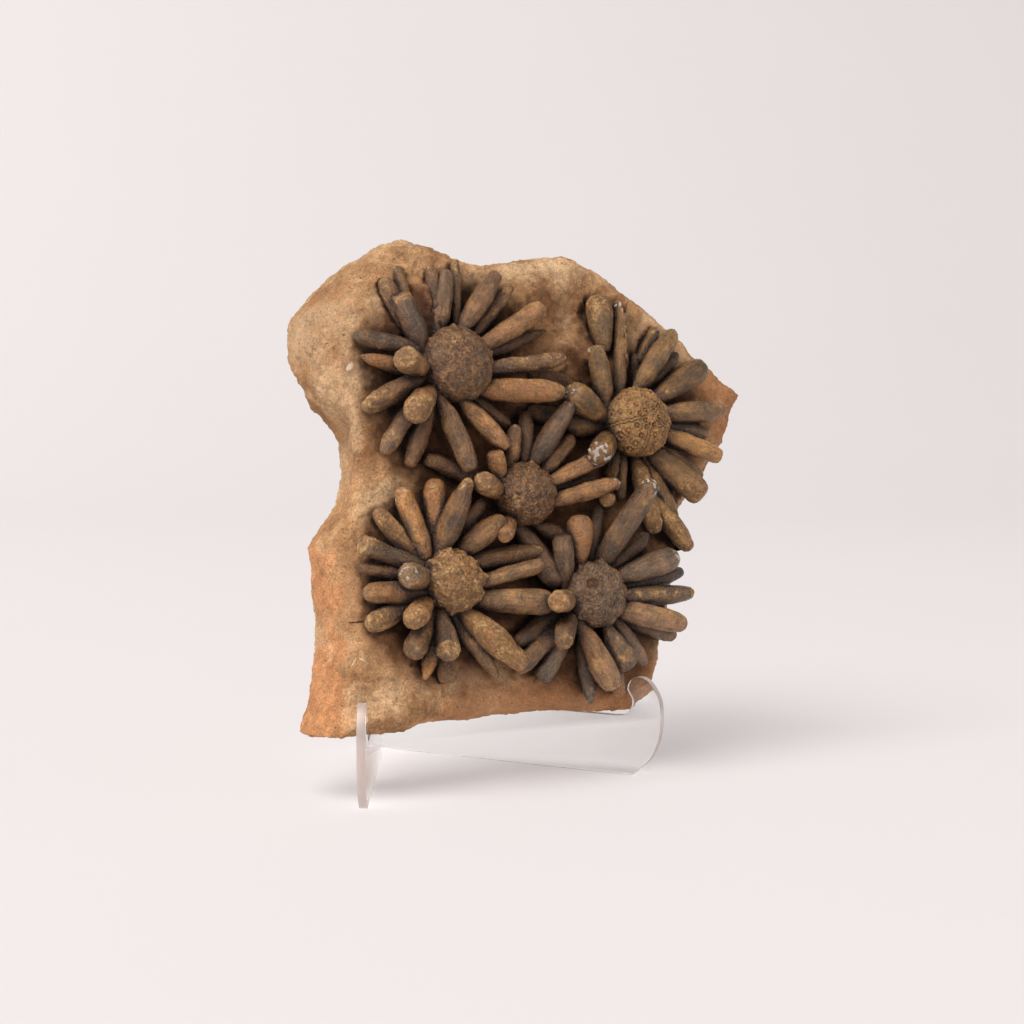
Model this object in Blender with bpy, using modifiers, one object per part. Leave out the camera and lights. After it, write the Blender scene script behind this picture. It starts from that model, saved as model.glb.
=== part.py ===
"""A slab of sandstone with five club-spined fossil sea urchins, on a clear acrylic easel.

The slab leans back on two hooked plates that cross behind it. Each urchin is a round
shell (its test) with thick spines that still lie around it like petals. Everything on the
slab is placed in the frame of its front face: across, up the face, and out of the face.
"""
import math

import bmesh
import bpy
from mathutils import Vector, geometry, noise

MM = 0.001
GAP = 0.3 * MM                      # clearance between pieces that touch
MERGE = 0.005 * MM                  # corners closer than this are one

# The easel: two equal plates that cross at a V, seen from above.
SHEET = 4.0 * MM                    # thickness of the acrylic
HALF_V = math.radians(30)           # each plate's angle from straight ahead
FOOT_LENGTH = 142 * MM              # from the crossing to where the hook curve begins
TAIL = 10 * MM                      # how far a plate runs on behind the crossing
SEAT_HEIGHT = 27.9 * MM
HOOK_THROAT = 9 * MM                # from the hook's inner side to the level seat
UPRIGHT_HEIGHT = 148 * MM
UPRIGHT_WIDTH = 14 * MM             # at its top
UPRIGHT_ROUND = 7 * MM
SPINE_REACH, SPINE_HEIGHT = 12 * MM, 44 * MM    # where the upright's rear edge ends
TAIL_HEIGHT = 36 * MM
SLOT_MIDDLE = 20 * MM               # height where the two plates' slots meet
CROSSING = Vector((-43 * MM, 64 * MM, 0))

# The hook from its outer side over its knob to its inner side: millimetres past
# FOOT_LENGTH and up.
HOOK = ((11, 11), (15, 29), (12, 41), (3.5, 47), (-2.2, 42), (0.3, 35), (-2.6, 29.4))

# The slab.
RECLINE = math.radians(15)          # how far its front face leans back
FACE_AHEAD = 118 * MM               # from the crossing forward to the face's zero point
FACE_RISE = 40 * MM                 # height of that point
THICKNESS = 43 * MM
SLAB_MIDDLE = Vector((38, 104))     # millimetres across and up
OUTLINE_STEP = 15                   # longest step along the slab's outline, in millimetres
GRID = 14.5                         # spacing of the front face's facets, in millimetres
GRID_CORNER = (-80, -12)            # where the facets start, in millimetres across and up
GRID_SIZE = (260, 240)
GRID_JITTER = 0.9                   # how unevenly they are spread, as a share of GRID
RIM_CLEARANCE = 5                   # from the front's rim to its nearest inner corner, in mm
SWELL, SWELL_WIDTH = 2.4, 22.0      # broad lumps of the stone: height and width, in mm
LUMP, LUMP_WIDTH = 1.4, 8.0         # smaller lumps on them
EDGE_DEPTH = 11                     # over which the front rounds into the sides, in mm

SPINE_SIDES = 6
NECK_GRIP = 5.0                     # how far inside a test its spines' necks end, in mm
TEST_RIBS = 10
RIB_DEPTH = 0.04                    # as a share of the test's radius
TEST_SINK = 3 * MM                  # how deep a test's underside sits in the stone

# The front edge of the slab in millimetres (across, up), once round from the lower left.
OUTLINE = (
    (-74, -11), (-73, 8), (-70, 28), (-69, 48), (-68, 66), (-64, 80), (-60, 97), (-58, 114),
    (-57, 133), (-58, 152), (-58, 170), (-55, 188), (-48, 201), (-39, 209), (-27, 216),
    (-12, 221), (0, 217), (14, 212), (28, 210), (48, 214), (77, 215), (90, 209), (104, 199),
    (128, 181), (139, 171), (142, 166), (151, 160), (170, 144), (161, 134), (154, 119),
    (142, 107), (134, 97), (122, 86), (116, 70), (110, 50), (104, 33), (97, 17), (90, 2),
    (81, -13), (52, -8), (24, -6), (-6, -6), (-32, -6), (-40, -10), (-58, -10),
)

# How far the left side bulges outwards or is hollowed at mid-depth: (up, millimetres out).
LEFT_SIDE = ((-9, 15), (8, 7), (30, 5), (55, 2), (70, 4), (82, 8), (100, -6), (118, -12),
             (138, -13), (149, 4), (165, 11), (186, 13), (199, 9), (211, 4), (222, 0))

# Swells (+) and hollows (-) of the front face: across, up, radius, height, in millimetres.
RELIEF = (
    (-35, 195, 34, 5), (30, 100, 62, -5), (70, 186, 26, -4), (70, 208, 20, 3),
    (-48, 120, 26, -3), (-52, 40, 30, 3), (120, 150, 30, -3), (20, 12, 40, -2),
)

# A spine's outline, base to tip: (share of its length, share of its full radius).
SPINE_KINDS = {
    "cigar": ((0, 0.46), (0.36, 1.0), (0.78, 0.88), (0.95, 0.50)),
    "club": ((0, 0.36), (0.48, 0.92), (0.80, 1.0), (0.96, 0.58)),
    "point": ((0, 0.44), (0.36, 1.0), (0.70, 0.80), (0.92, 0.32)),
    "blunt": ((0, 0.60), (0.50, 0.96), (0.90, 1.0), (0.99, 0.66)),
    "slim": ((0, 0.62), (0.36, 1.0), (0.80, 0.92), (0.96, 0.54)),
}

# Each urchin: the middle of its test on the face, the test's width and height, all in mm.
TESTS = {
    "urchin_top_left": dict(middle=(-4, 156), width=33, height=25),
    "urchin_top_right": dict(middle=(91, 127), width=34, height=27),
    "urchin_centre": dict(middle=(24, 94), width=30, height=24),
    "urchin_bottom_left": dict(middle=(-21, 55), width=30, height=24),
    "urchin_bottom_right": dict(middle=(54, 45), width=32, height=24),
}

# Each spine: where its foot stands round the test (degrees anticlockwise from the right),
# its distance from the test's middle, its height off the face, where it points on the same
# clock, how steeply it rises, its length and its girth (mm and degrees), and its kind.
SPINES = {
    "urchin_top_left": (
        (151, 18, 8, 111, 6, 28, 11.5, "blunt"),
        (142, 26, 3, 111, 0, 28, 8, "club"),
        (103, 26, 3, 86, 0, 24, 6.5, "cigar"),
        (104, 19, 6, 74, -1, 30, 9.5, "cigar"),
        (74, 24, 2, 84, -1, 30, 5.5, "slim"),
        (69, 20, 8, 50, 2, 35, 10.5, "club"),
        (48, 22, 5, 45, -1, 35, 7.5, "cigar"),
        (31, 19, 9, 27, 1, 40, 10, "blunt"),
        (18, 20, 5, 19, -3, 39, 6.5, "point"),
        (354, 18, 9, 6, 3, 42, 8, "slim"),
        (316, 17, 9, 356, 8, 42, 11.5, "cigar"),
        (274, 18, 9, 308, 8, 30, 9.5, "cigar"),
        (307, 19, 4, 320, 0, 21, 6, "slim"),
        (243, 21, 9, 283, 10, 35, 10.5, "cigar"),
        (232, 21, 5, 242, 0, 34, 9, "cigar"),
        (219, 18, 8, 218, 33, 31, 12.5, "club"),
        (216, 26, 6, 230, 1, 33, 8.5, "cigar"),
        (198, 20, 8, 204, 2, 34, 10, "cigar"),
        (185, 17, 8, 178, 41, 25, 11.5, "blunt"),
        (184, 22, 6, 165, 0, 26, 8, "point"),
        (158, 20, 8, 167, -2, 32, 8.5, "cigar"),
    ),
    "urchin_top_right": (
        (141, 19, 9, 101, 11, 27, 10, "cigar"),
        (96, 19, 4, 80, -1, 46, 7, "slim"),
        (72, 20, 8, 47, 2, 38, 10.5, "cigar"),
        (54, 26, 4, 37, -2, 26, 7.5, "cigar"),
        (40, 18, 8, 28, 2, 36, 13, "club"),
        (15, 19, 9, 1, 3, 36, 10.5, "cigar"),
        (0, 20, 4, 350, 0, 27, 7.5, "cigar"),
        (341, 18, 9, 337, 4, 32, 9, "blunt"),
        (324, 21, 5, 325, 0, 26, 7.5, "cigar"),
        (300, 18, 8, 315, 8, 32, 13, "blunt"),
        (272, 18, 5, 276, 2, 37, 10, "cigar"),
        (249, 16, 3, 257, -2, 22, 6, "slim"),
        (234, 17, 3, 252, -3, 15, 7, "slim"),
        (170, 17, 8, 150, 12, 26, 14, "club"),
        (184, 15, 4, 174, 0, 23, 10.5, "club"),
        (289, 22, 5, 293, -2, 30, 8.5, "cigar"),
        (204, 17, 7, 215, 36, 24, 12, "blunt"),
    ),
    "urchin_centre": (
        (64, 17, 8, 52, 10, 35, 10, "cigar"),
        (40, 17, 6, 42, 2, 25, 9.5, "cigar"),
        (20, 15, 9, 21, 7, 33, 8, "blunt"),
        (10, 18, 4, 10, 0, 26, 6, "slim"),
        (345, 15, 9, 11, 10, 36, 8.5, "slim"),
        (76, 16, 5, 78, 0, 26, 8, "cigar"),
        (110, 15, 7, 76, 6, 20, 7.5, "cigar"),
        (148, 14, 9, 112, 20, 14, 8.5, "blunt"),
        (172, 14, 8, 170, 40, 20, 10.5, "blunt"),
        (160, 18, 3, 155, 2, 34, 8.5, "slim"),
        (297, 16, 5, 329, 8, 24, 8, "cigar"),
        (256, 14, 4, 299, 2, 35, 12, "club"),
        (232, 14, 7, 222, 36, 19, 8, "blunt"),
    ),
    "urchin_bottom_left": (
        (132, 15, 7, 104, 0, 35, 10.5, "cigar"),
        (137, 20, 5, 128, 0, 28, 8.5, "cigar"),
        (150, 16, 8, 159, 2, 33, 8.5, "blunt"),
        (166, 20, 6, 168, -2, 27, 7.5, "point"),
        (172, 13, 8, 178, 44, 25, 12, "club"),
        (196, 14, 8, 177, 0, 31, 10.5, "cigar"),
        (203, 19, 6, 200, 2, 28, 9, "club"),
        (211, 14, 8, 212, 34, 25, 11, "club"),
        (230, 17, 7, 232, 6, 25, 10.5, "club"),
        (250, 18, 4, 246, 0, 28, 8.5, "point"),
        (240, 15, 9, 264, 18, 24, 10.5, "club"),
        (260, 18, 4, 264, 0, 27, 9.5, "blunt"),
        (277, 17, 6, 303, -2, 33, 8.5, "point"),
        (286, 15, 9, 312, 12, 38, 12.5, "cigar"),
        (326, 15, 9, 352, 10, 36, 12, "blunt"),
        (355, 14, 10, 11, 12, 33, 8, "slim"),
        (35, 15, 6, 6, 2, 40, 9, "slim"),
        (64, 16, 9, 30, 14, 26, 11, "cigar"),
        (105, 15, 9, 65, 16, 36, 12, "point"),
        (100, 18, 5, 84, 2, 31, 11, "club"),
        (64, 20, 4, 50, 0, 27, 7, "cigar"),
    ),
    "urchin_bottom_right": (
        (67, 17, 9, 54, 22, 46, 11.5, "slim"),
        (43, 17, 5, 33, 0, 30, 8.5, "cigar"),
        (29, 15, 9, 13, 5, 36, 12.5, "club"),
        (7, 18, 4, 10, 0, 38, 9, "cigar"),
        (353, 16, 8, 359, 0, 41, 9.5, "cigar"),
        (326, 15, 10, 344, 6, 36, 11.5, "cigar"),
        (328, 21, 4, 339, 0, 31, 9, "cigar"),
        (313, 16, 6, 303, -2, 28, 8, "cigar"),
        (284, 16, 9, 290, 10, 23, 11, "club"),
        (240, 18, 9, 287, 11, 32, 12, "club"),
        (286, 24, 4, 276, 0, 26, 8.5, "cigar"),
        (250, 21, 4, 272, -2, 31, 8, "point"),
        (212, 17, 7, 222, 40, 29, 10, "cigar"),
        (226, 21, 5, 231, -2, 28, 9.5, "blunt"),
        (212, 21, 6, 218, 0, 35, 9.5, "cigar"),
        (199, 18, 5, 208, 0, 30, 9.5, "cigar"),
        (189, 14, 8, 186, 46, 27, 10.5, "blunt"),
        (110, 16, 9, 93, 18, 23, 12.5, "club"),
        (152, 17, 9, 96, 18, 21, 9.5, "blunt"),
        (79, 16, 5, 72, 0, 30, 7, "slim"),
    ),
}

# Loose spines set in the stone itself: foot (across, up, out) and then as above.
LOOSE_SPINES = (
    ((85, 165, 1), 95, 6, 28, 12.5, "club"),
    ((104, 160, 1), 51, -2, 23, 5.5, "slim"),
    ((97, 92, 3), 303, 5, 34, 10, "cigar"),
)

FINISHES = {
    "matrix_slab": ("Ochre sandstone", (0.52, 0.34, 0.19, 1.0), 0.92),
    "urchin_top_left": ("Dark fossil urchin", (0.16, 0.11, 0.08, 1.0), 0.75),
    "urchin_top_right": ("Olive fossil urchin", (0.22, 0.15, 0.09, 1.0), 0.72),
    "urchin_centre": ("Brown fossil urchin", (0.19, 0.13, 0.08, 1.0), 0.74),
    "urchin_bottom_left": ("Ochre fossil urchin", (0.25, 0.17, 0.09, 1.0), 0.74),
    "urchin_bottom_right": ("Grey fossil urchin", (0.18, 0.14, 0.11, 1.0), 0.76),
    "stand_left_plate": ("Clear acrylic", (0.90, 0.94, 0.95, 0.25), 0.05),
    "stand_right_plate": ("Clear acrylic right", (0.90, 0.94, 0.95, 0.25), 0.05),
}


def clear_scene():
    for obj in list(bpy.data.objects):
        bpy.data.objects.remove(obj, do_unlink=True)


def new_collection(name):
    collection = bpy.data.collections.new(name)
    bpy.context.scene.collection.children.link(collection)
    return collection


def add_object(name, data, collection, parent=None):
    obj = bpy.data.objects.new(name, data)
    collection.objects.link(obj)
    obj.parent = parent
    return obj


def add_face_frame(collection):
    """An empty on the slab's front face: X across, Y up the face, Z out of it."""
    frame = add_object("slab_face", None, collection)
    frame.location = CROSSING + Vector((0, -FACE_AHEAD, FACE_RISE))
    frame.rotation_euler = (math.pi / 2 - RECLINE, 0, 0)
    return frame


def make_cutter(obj):
    obj.hide_render = True
    obj.display_type = "WIRE"


def finish(obj):
    """Give a piece its own material and shade its round faces smooth."""
    name, colour, roughness = FINISHES[obj.name]
    material = bpy.data.materials.new(name)
    material.use_nodes = True
    shader = material.node_tree.nodes["Principled BSDF"]
    shader.inputs["Base Color"].default_value = colour
    shader.inputs["Roughness"].default_value = roughness
    shader.inputs["Metallic"].default_value = 0.0
    if "acrylic" in name:
        shader.inputs["Transmission Weight"].default_value = 1.0
        shader.inputs["IOR"].default_value = 1.49
    obj.data.materials.clear()
    obj.data.materials.append(material)
    obj.data.shade_smooth()
    obj.data.set_sharp_from_angle(angle=math.radians(40))


def evaluated_mesh(obj, name):
    bpy.context.view_layer.update()
    depsgraph = bpy.context.evaluated_depsgraph_get()
    mesh = bpy.data.meshes.new_from_object(obj.evaluated_get(depsgraph))
    mesh.name = name
    return mesh


# ---- spines and tests -------------------------------------------------------------------

def spine_outline(kind, length, radius, neck, grow):
    """A spine's outline along +Z from tip to foot; its neck runs on down below zero."""
    outline = [Vector((0, 0, length + grow))]
    for along, share in reversed(SPINE_KINDS[kind][1:]):
        outline.append(Vector((radius * share + grow, 0, along * length)))
    foot = -neck - grow
    outline.append(Vector((radius * SPINE_KINDS[kind][0][1] + grow, 0, foot)))
    outline.append(Vector((0, 0, foot)))
    return outline


def place_spine(name, foot, neck, row, grow, collection, frame):
    """Turn a spine from its outline, stand it on its foot and point it.

    A cutter for a neighbour's gap is the same spine, fattened all over by grow."""
    clock, rise, length, girth, kind = row
    outline = spine_outline(kind, length * MM, girth * MM / 2, neck * MM, grow)
    profile = bpy.data.meshes.new(name)
    profile.from_pydata(outline, [(i, i + 1) for i in range(len(outline) - 1)], [])
    spine = add_object(name, profile, collection, frame)
    screw = spine.modifiers.new("Turn", "SCREW")
    screw.axis = "Z"
    screw.steps = SPINE_SIDES
    screw.render_steps = SPINE_SIDES
    screw.use_merge_vertices = True
    screw.merge_threshold = 0.0001
    spine.location = Vector(foot) * MM
    spine.rotation_euler = (0, math.pi / 2 - math.radians(rise), math.radians(clock))
    make_cutter(spine)


def neck_length(reach, swing, width):
    """How far a spine's neck runs back along its line until it is well inside the test."""
    inner = width / 2 - NECK_GRIP
    aside = abs(reach * math.sin(swing))
    back = reach * math.cos(swing)
    if aside < inner:
        back -= math.sqrt(inner * inner - aside * aside)
    return max(0.0, back)


def test_mesh(name, width, height, grow):
    """A flattened ball with ribs down its sides, where its rows of knobs run."""
    shell = bmesh.new()
    bmesh.ops.create_uvsphere(shell, u_segments=2 * TEST_RIBS, v_segments=7, radius=1)
    for vert in shell.verts:
        turn = math.atan2(vert.co.y, vert.co.x)
        flatness = math.hypot(vert.co.x, vert.co.y)
        size = 1 + RIB_DEPTH * math.cos(TEST_RIBS * turn) * flatness
        vert.co.x *= size * (width * MM / 2) + grow
        vert.co.y *= size * (width * MM / 2) + grow
        vert.co.z *= size * (height * MM / 2) + grow
    mesh = bpy.data.meshes.new(name)
    shell.to_mesh(mesh)
    shell.free()
    return mesh


def place_test(name, urchin, grow, collection, frame):
    sizes = TESTS[urchin]
    mesh = test_mesh(name, sizes["width"], sizes["height"], grow)
    test = add_object(name, mesh, collection, frame)
    across, up = sizes["middle"]
    test.location = (across * MM, up * MM, sizes["height"] * MM / 2 - TEST_SINK)
    return test


def place_spines(urchin, grow, collection, frame):
    across, up = TESTS[urchin]["middle"]
    for number, (around, reach, height, *row) in enumerate(SPINES[urchin]):
        foot = (across + reach * math.cos(math.radians(around)),
                up + reach * math.sin(math.radians(around)), height)
        neck = neck_length(reach, math.radians(row[0] - around), TESTS[urchin]["width"])
        name = "%s_spine_%d" % (collection.name, number)
        place_spine(name, foot, neck, row, grow, collection, frame)


def boolean(obj, operation, other):
    """Join or cut an object by another object, or by all that a collection holds."""
    cut = obj.modifiers.new(operation.title(), "BOOLEAN")
    cut.operation = operation
    cut.solver = "EXACT"
    if isinstance(other, bpy.types.Collection):
        cut.operand_type = "COLLECTION"
        cut.collection = other
    else:
        cut.object = other


def keep_largest_body(mesh):
    """Drop the crumbs that a cut leaves, so that one closed body stays."""
    body = bmesh.new()
    body.from_mesh(mesh)
    bmesh.ops.triangulate(body, faces=body.faces)
    bmesh.ops.remove_doubles(body, verts=body.verts, dist=MERGE)
    bmesh.ops.dissolve_degenerate(body, dist=MERGE, edges=body.edges)
    unseen = set(body.verts)
    islands = []
    for start in list(body.verts):
        if start not in unseen:
            continue
        unseen.remove(start)
        stack, island = [start], [start]
        while stack:
            for edge in stack.pop().link_edges:
                for vert in edge.verts:
                    if vert in unseen:
                        unseen.remove(vert)
                        island.append(vert)
                        stack.append(vert)
        islands.append(island)
    islands.sort(key=len)
    for island in islands[:-1]:
        bmesh.ops.delete(body, geom=island, context="VERTS")
    holes = [edge for edge in body.edges if len(edge.link_faces) == 1]
    if holes:
        bmesh.ops.holes_fill(body, edges=holes, sides=0)
        bmesh.ops.triangulate(body, faces=body.faces)
    body.to_mesh(mesh)
    body.free()


def box_cutter(name, size, collection):
    box = bmesh.new()
    bmesh.ops.create_cube(box, size=1)
    mesh = bpy.data.meshes.new(name)
    box.to_mesh(mesh)
    box.free()
    cutter = add_object(name, mesh, collection)
    cutter.scale = size
    make_cutter(cutter)
    return cutter


def settle(obj):
    """Replace an object's mesh by its evaluated one, and drop the modifiers."""
    mesh = evaluated_mesh(obj, obj.name)
    keep_largest_body(mesh)
    obj.modifiers.clear()
    obj.data = mesh


def add_fused_urchin(name, urchin, grow, collection, frame):
    """One test joined with its spines; grow fattens it all over."""
    spines = new_collection(name + "_spines")
    place_spines(urchin, grow, spines, frame)
    body = place_test(name, urchin, grow, collection, frame)
    boolean(body, "UNION", spines)
    settle(body)
    return body


def add_urchins(parts, frame):
    """The five urchins, each cleared from those before it; returns their fattened copies."""
    gaps = []
    cutters = new_collection("urchin_gaps")
    for urchin in TESTS:
        body = add_fused_urchin(urchin, urchin, 0, parts, frame)
        for gap in gaps:
            boolean(body, "DIFFERENCE", gap)
        settle(body)
        finish(body)
        gap = add_fused_urchin(urchin + "_gap", urchin, GAP, cutters, frame)
        make_cutter(gap)
        gaps.append(gap)
    return gaps


# ---- the slab ---------------------------------------------------------------------------

def smooth_between(pairs, where):
    """Read a value between hand-set points with an even ease from one to the next."""
    if where <= pairs[0][0]:
        return pairs[0][1]
    for (low, start), (high, end) in zip(pairs, pairs[1:]):
        if where <= high:
            share = (where - low) / (high - low)
            share = share * share * (3 - 2 * share)
            return start + (end - start) * share
    return pairs[-1][1]


def outline_points():
    """The hand-set outline, with its long sides divided into even steps."""
    points = []
    for start, end in zip(OUTLINE, OUTLINE[1:] + OUTLINE[:1]):
        start, end = Vector(start), Vector(end)
        steps = max(1, round((end - start).length / OUTLINE_STEP))
        points += [start.lerp(end, number / steps) for number in range(steps)]
    return points


def left_bulge(point):
    """How far a point of the outline moves at mid-depth, in millimetres across."""
    leftness = max(0.0, min(1.0, (0 - point.x) / 40))
    return -leftness * smooth_between(LEFT_SIDE, point.y)


def relief(across, up):
    height = 0.0
    for x, y, radius, lift in RELIEF:
        distance = math.hypot(across - x, up - y) / radius
        if distance < 1:
            height += lift * (1 - distance * distance) ** 2
    return height


def slab_rings():
    """Rings round the slab's edge, from the rim of the front face to the rim of the back.

    Each is (share of the outline, depth in millimetres, share of the side bulge)."""
    deep = THICKNESS / MM
    return (
        (0.94, -1.2, 0), (0.98, -4.0, 0.1), (1.0, -10.0, 0.4), (1.0, -0.45 * deep, 0.9),
        (0.985, -0.78 * deep, 1.0), (0.95, -deep, 0.7),
    )


def roughness(point):
    """Lumps of the stone, broad and small, in millimetres."""
    broad = noise.noise(point / SWELL_WIDTH + Vector((3.1, 7.7, 1.3)))
    small = noise.noise(point / LUMP_WIDTH + Vector((11.0, 2.0, 5.0)))
    return SWELL * broad + LUMP * small


def front_place(flat):
    """A point of the front face, lifted by the broad relief and by lumps."""
    place = Vector((flat.x, flat.y, 0))
    place.z = relief(flat.x, flat.y) + roughness(place)
    return place


def edge_place(point, share, depth, bulge):
    """A point of a ring: the front's relief fades out over the edge, the lumps fade in."""
    flat = SLAB_MIDDLE + (point - SLAB_MIDDLE) * share
    flat.x += left_bulge(point) * bulge
    place = Vector((flat.x, flat.y, depth))
    if depth > -THICKNESS / MM:
        away = (place - Vector((SLAB_MIDDLE.x, SLAB_MIDDLE.y, depth))).normalized()
        place += away * roughness(place) * min(1.0, -depth / EDGE_DEPTH)
        lift = relief(flat.x, flat.y) + roughness(place)
        place.z += lift * max(0.0, 1 + depth / EDGE_DEPTH)
    return place


def near_rim(point, rim):
    """Whether a point is too close to the rim to carry a facet of its own."""
    for start, end in zip(rim, rim[1:] + rim[:1]):
        share = geometry.intersect_point_line(point, start, end)[1]
        share = max(0.0, min(1.0, share))
        if (start.lerp(end, share) - point).length < RIM_CLEARANCE:
            return True
    return False


def face_points(rim):
    """The rim of the front face and an uneven grid of points inside it."""
    points = list(rim)
    row_step = GRID * math.sin(math.radians(60))
    for row in range(int(GRID_SIZE[1] / row_step)):
        for column in range(int(GRID_SIZE[0] / GRID)):
            across = GRID_CORNER[0] + (column + 0.5 * (row % 2)) * GRID
            up = GRID_CORNER[1] + row * row_step
            spot = Vector((across, up, 0)) / LUMP_WIDTH
            shift = Vector((noise.noise(spot), noise.noise(spot + Vector((5.3, 1.9, 8.1)))))
            point = Vector((across, up)) + shift * GRID * GRID_JITTER
            if not near_rim(point, rim):
                points.append(point)
    return points


def slab_mesh():
    """Skin the rings, fill the front with facets and close the back with one flat face."""
    stone = bmesh.new()
    outline = outline_points()
    loops = []
    for share, depth, bulge in slab_rings():
        loops.append([stone.verts.new(edge_place(point, share, depth, bulge) * MM)
                      for point in outline])
    count = len(outline)
    for near, far in zip(loops, loops[1:]):
        for i in range(count):
            j = (i + 1) % count
            stone.faces.new((near[i], near[j], far[j], far[i]))
    stone.faces.new(list(reversed(loops[-1])))
    rim = [SLAB_MIDDLE + (point - SLAB_MIDDLE) * slab_rings()[0][0] for point in outline]
    points = face_points(rim)
    border = [(i, (i + 1) % count) for i in range(count)]
    flat, _, faces, origins, _, _ = geometry.delaunay_2d_cdt(points, border, [], 1, 0.01)
    verts = []
    for place, origin in zip(flat, origins):
        on_rim = [i for i in origin if i < count]
        verts.append(loops[0][on_rim[0]] if on_rim else stone.verts.new(front_place(place) * MM))
    for face in faces:
        stone.faces.new([verts[i] for i in face])
    bmesh.ops.recalc_face_normals(stone, faces=stone.faces)
    bmesh.ops.triangulate(stone, faces=stone.faces)
    mesh = bpy.data.meshes.new("matrix_slab")
    stone.to_mesh(mesh)
    stone.free()
    return mesh


def add_slab(parts, frame, gaps, cutters):
    """The stone, with loose spines set in it, cut level underneath and round each urchin."""
    slab = add_object("matrix_slab", slab_mesh(), parts, frame)
    loose = new_collection("loose_spines")
    for number, (foot, *row) in enumerate(LOOSE_SPINES):
        place_spine("loose_spine_%d" % number, foot, 0, row, 0, loose, frame)
    boolean(slab, "UNION", loose)
    level = box_cutter("level_cutter", (3 * FACE_AHEAD, 2 * FACE_AHEAD, SEAT_HEIGHT), cutters)
    level.location = CROSSING + Vector((SLAB_MIDDLE.x * MM, -FACE_AHEAD, SEAT_HEIGHT / 2 + GAP))
    for cutter in (level, *gaps):
        boolean(slab, "DIFFERENCE", cutter)
    settle(slab)
    finish(slab)


# ---- the easel --------------------------------------------------------------------------

def upright_reach(height):
    """How far from the crossing a plate's front edge stands, just clear of the slab's back."""
    back = -FACE_AHEAD + THICKNESS / math.cos(RECLINE) + (height - FACE_RISE) * math.tan(RECLINE)
    corner = SHEET / 2 * math.tan(HALF_V)
    return (-back - GAP) / math.cos(HALF_V) - corner


def plate_outline():
    """Points (along the plate, up, whether it is a corner), once round anticlockwise."""
    foot = upright_reach(SEAT_HEIGHT)
    bevel = UPRIGHT_HEIGHT - UPRIGHT_ROUND
    top = upright_reach(bevel)
    hook = [(FOOT_LENGTH + along * MM, up * MM, False) for along, up in HOOK]
    return (
        (-TAIL, 0, True), (FOOT_LENGTH, 0, True), *hook,
        (FOOT_LENGTH - HOOK_THROAT, SEAT_HEIGHT, True), (foot, SEAT_HEIGHT, True),
        (top, bevel, True), (top - UPRIGHT_ROUND, UPRIGHT_HEIGHT, False),
        (top - UPRIGHT_WIDTH, bevel, True), (SPINE_REACH, SPINE_HEIGHT, True),
        (-TAIL, TAIL_HEIGHT, True),
    )


def plate_curve(name):
    """The flat outline as a filled 2D curve, half the sheet's thickness each way."""
    curve = bpy.data.curves.new(name, "CURVE")
    curve.dimensions = "2D"
    curve.fill_mode = "BOTH"
    curve.extrude = SHEET / 2
    curve.resolution_u = 3          # straight pieces in each bend
    spline = curve.splines.new("BEZIER")
    outline = plate_outline()
    spline.bezier_points.add(len(outline) - 1)
    spline.use_cyclic_u = True
    for knot, (along, up, corner) in zip(spline.bezier_points, outline):
        knot.co = (along, up, 0)
        kind = "VECTOR" if corner else "AUTO"
        knot.handle_left_type = kind
        knot.handle_right_type = kind
    return curve


def slot_cutter(name, heading, bottom, top, cutters):
    """A slot for the other plate, cut square through this one at the crossing."""
    crossing_angle = 2 * HALF_V
    width = SHEET / math.sin(crossing_angle) + SHEET / math.tan(crossing_angle) + 2 * GAP
    cutter = box_cutter(name, (width, 3 * SHEET, top - bottom), cutters)
    cutter.location = CROSSING + Vector((0, 0, (bottom + top) / 2))
    cutter.rotation_euler = (0, 0, heading)
    return cutter


def add_plate(name, heading, slot_bottom, slot_top, parts, cutters):
    outline = add_object(name + "_outline", plate_curve(name), parts)
    outline.location = CROSSING
    outline.rotation_euler = (math.pi / 2, 0, heading)
    mesh = evaluated_mesh(outline, name)
    sheet = bmesh.new()
    sheet.from_mesh(mesh)
    bmesh.ops.remove_doubles(sheet, verts=sheet.verts, dist=MERGE)
    sheet.to_mesh(mesh)
    sheet.free()
    plate = add_object(name, mesh, parts)
    plate.location = outline.location
    plate.rotation_euler = outline.rotation_euler
    bpy.data.objects.remove(outline, do_unlink=True)
    slot = slot_cutter(name + "_slot", heading, slot_bottom, slot_top, cutters)
    boolean(plate, "DIFFERENCE", slot)
    settle(plate)
    finish(plate)


def add_easel(parts, cutters):
    """Two plates halved into each other: one slot is open below and the other above."""
    left, right = -math.pi / 2 - HALF_V, -math.pi / 2 + HALF_V
    low, high = -SHEET, 2 * SLOT_MIDDLE + SEAT_HEIGHT
    meet = SLOT_MIDDLE + GAP / 2
    add_plate("stand_left_plate", left, low, meet, parts, cutters)
    add_plate("stand_right_plate", right, meet - GAP, high, parts, cutters)


def main():
    clear_scene()
    parts = new_collection("fossil_sea_urchins")
    cutters = new_collection("cutters")
    frame = add_face_frame(cutters)
    gaps = add_urchins(parts, frame)
    add_slab(parts, frame, gaps, cutters)
    add_easel(parts, cutters)


main()
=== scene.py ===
"""Five club-spined fossil sea urchins on a slab of sandstone, held by a clear acrylic easel.

The slab leans back on two hooked plates that cross behind it. Everything on the slab is
placed on its front face: millimetres across, up the face, and out of the face.
"""
import math

import bmesh
import bpy
import numpy as np
from mathutils import Euler, Matrix, Vector, noise
from mathutils.bvhtree import BVHTree
from mathutils.kdtree import KDTree


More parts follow.
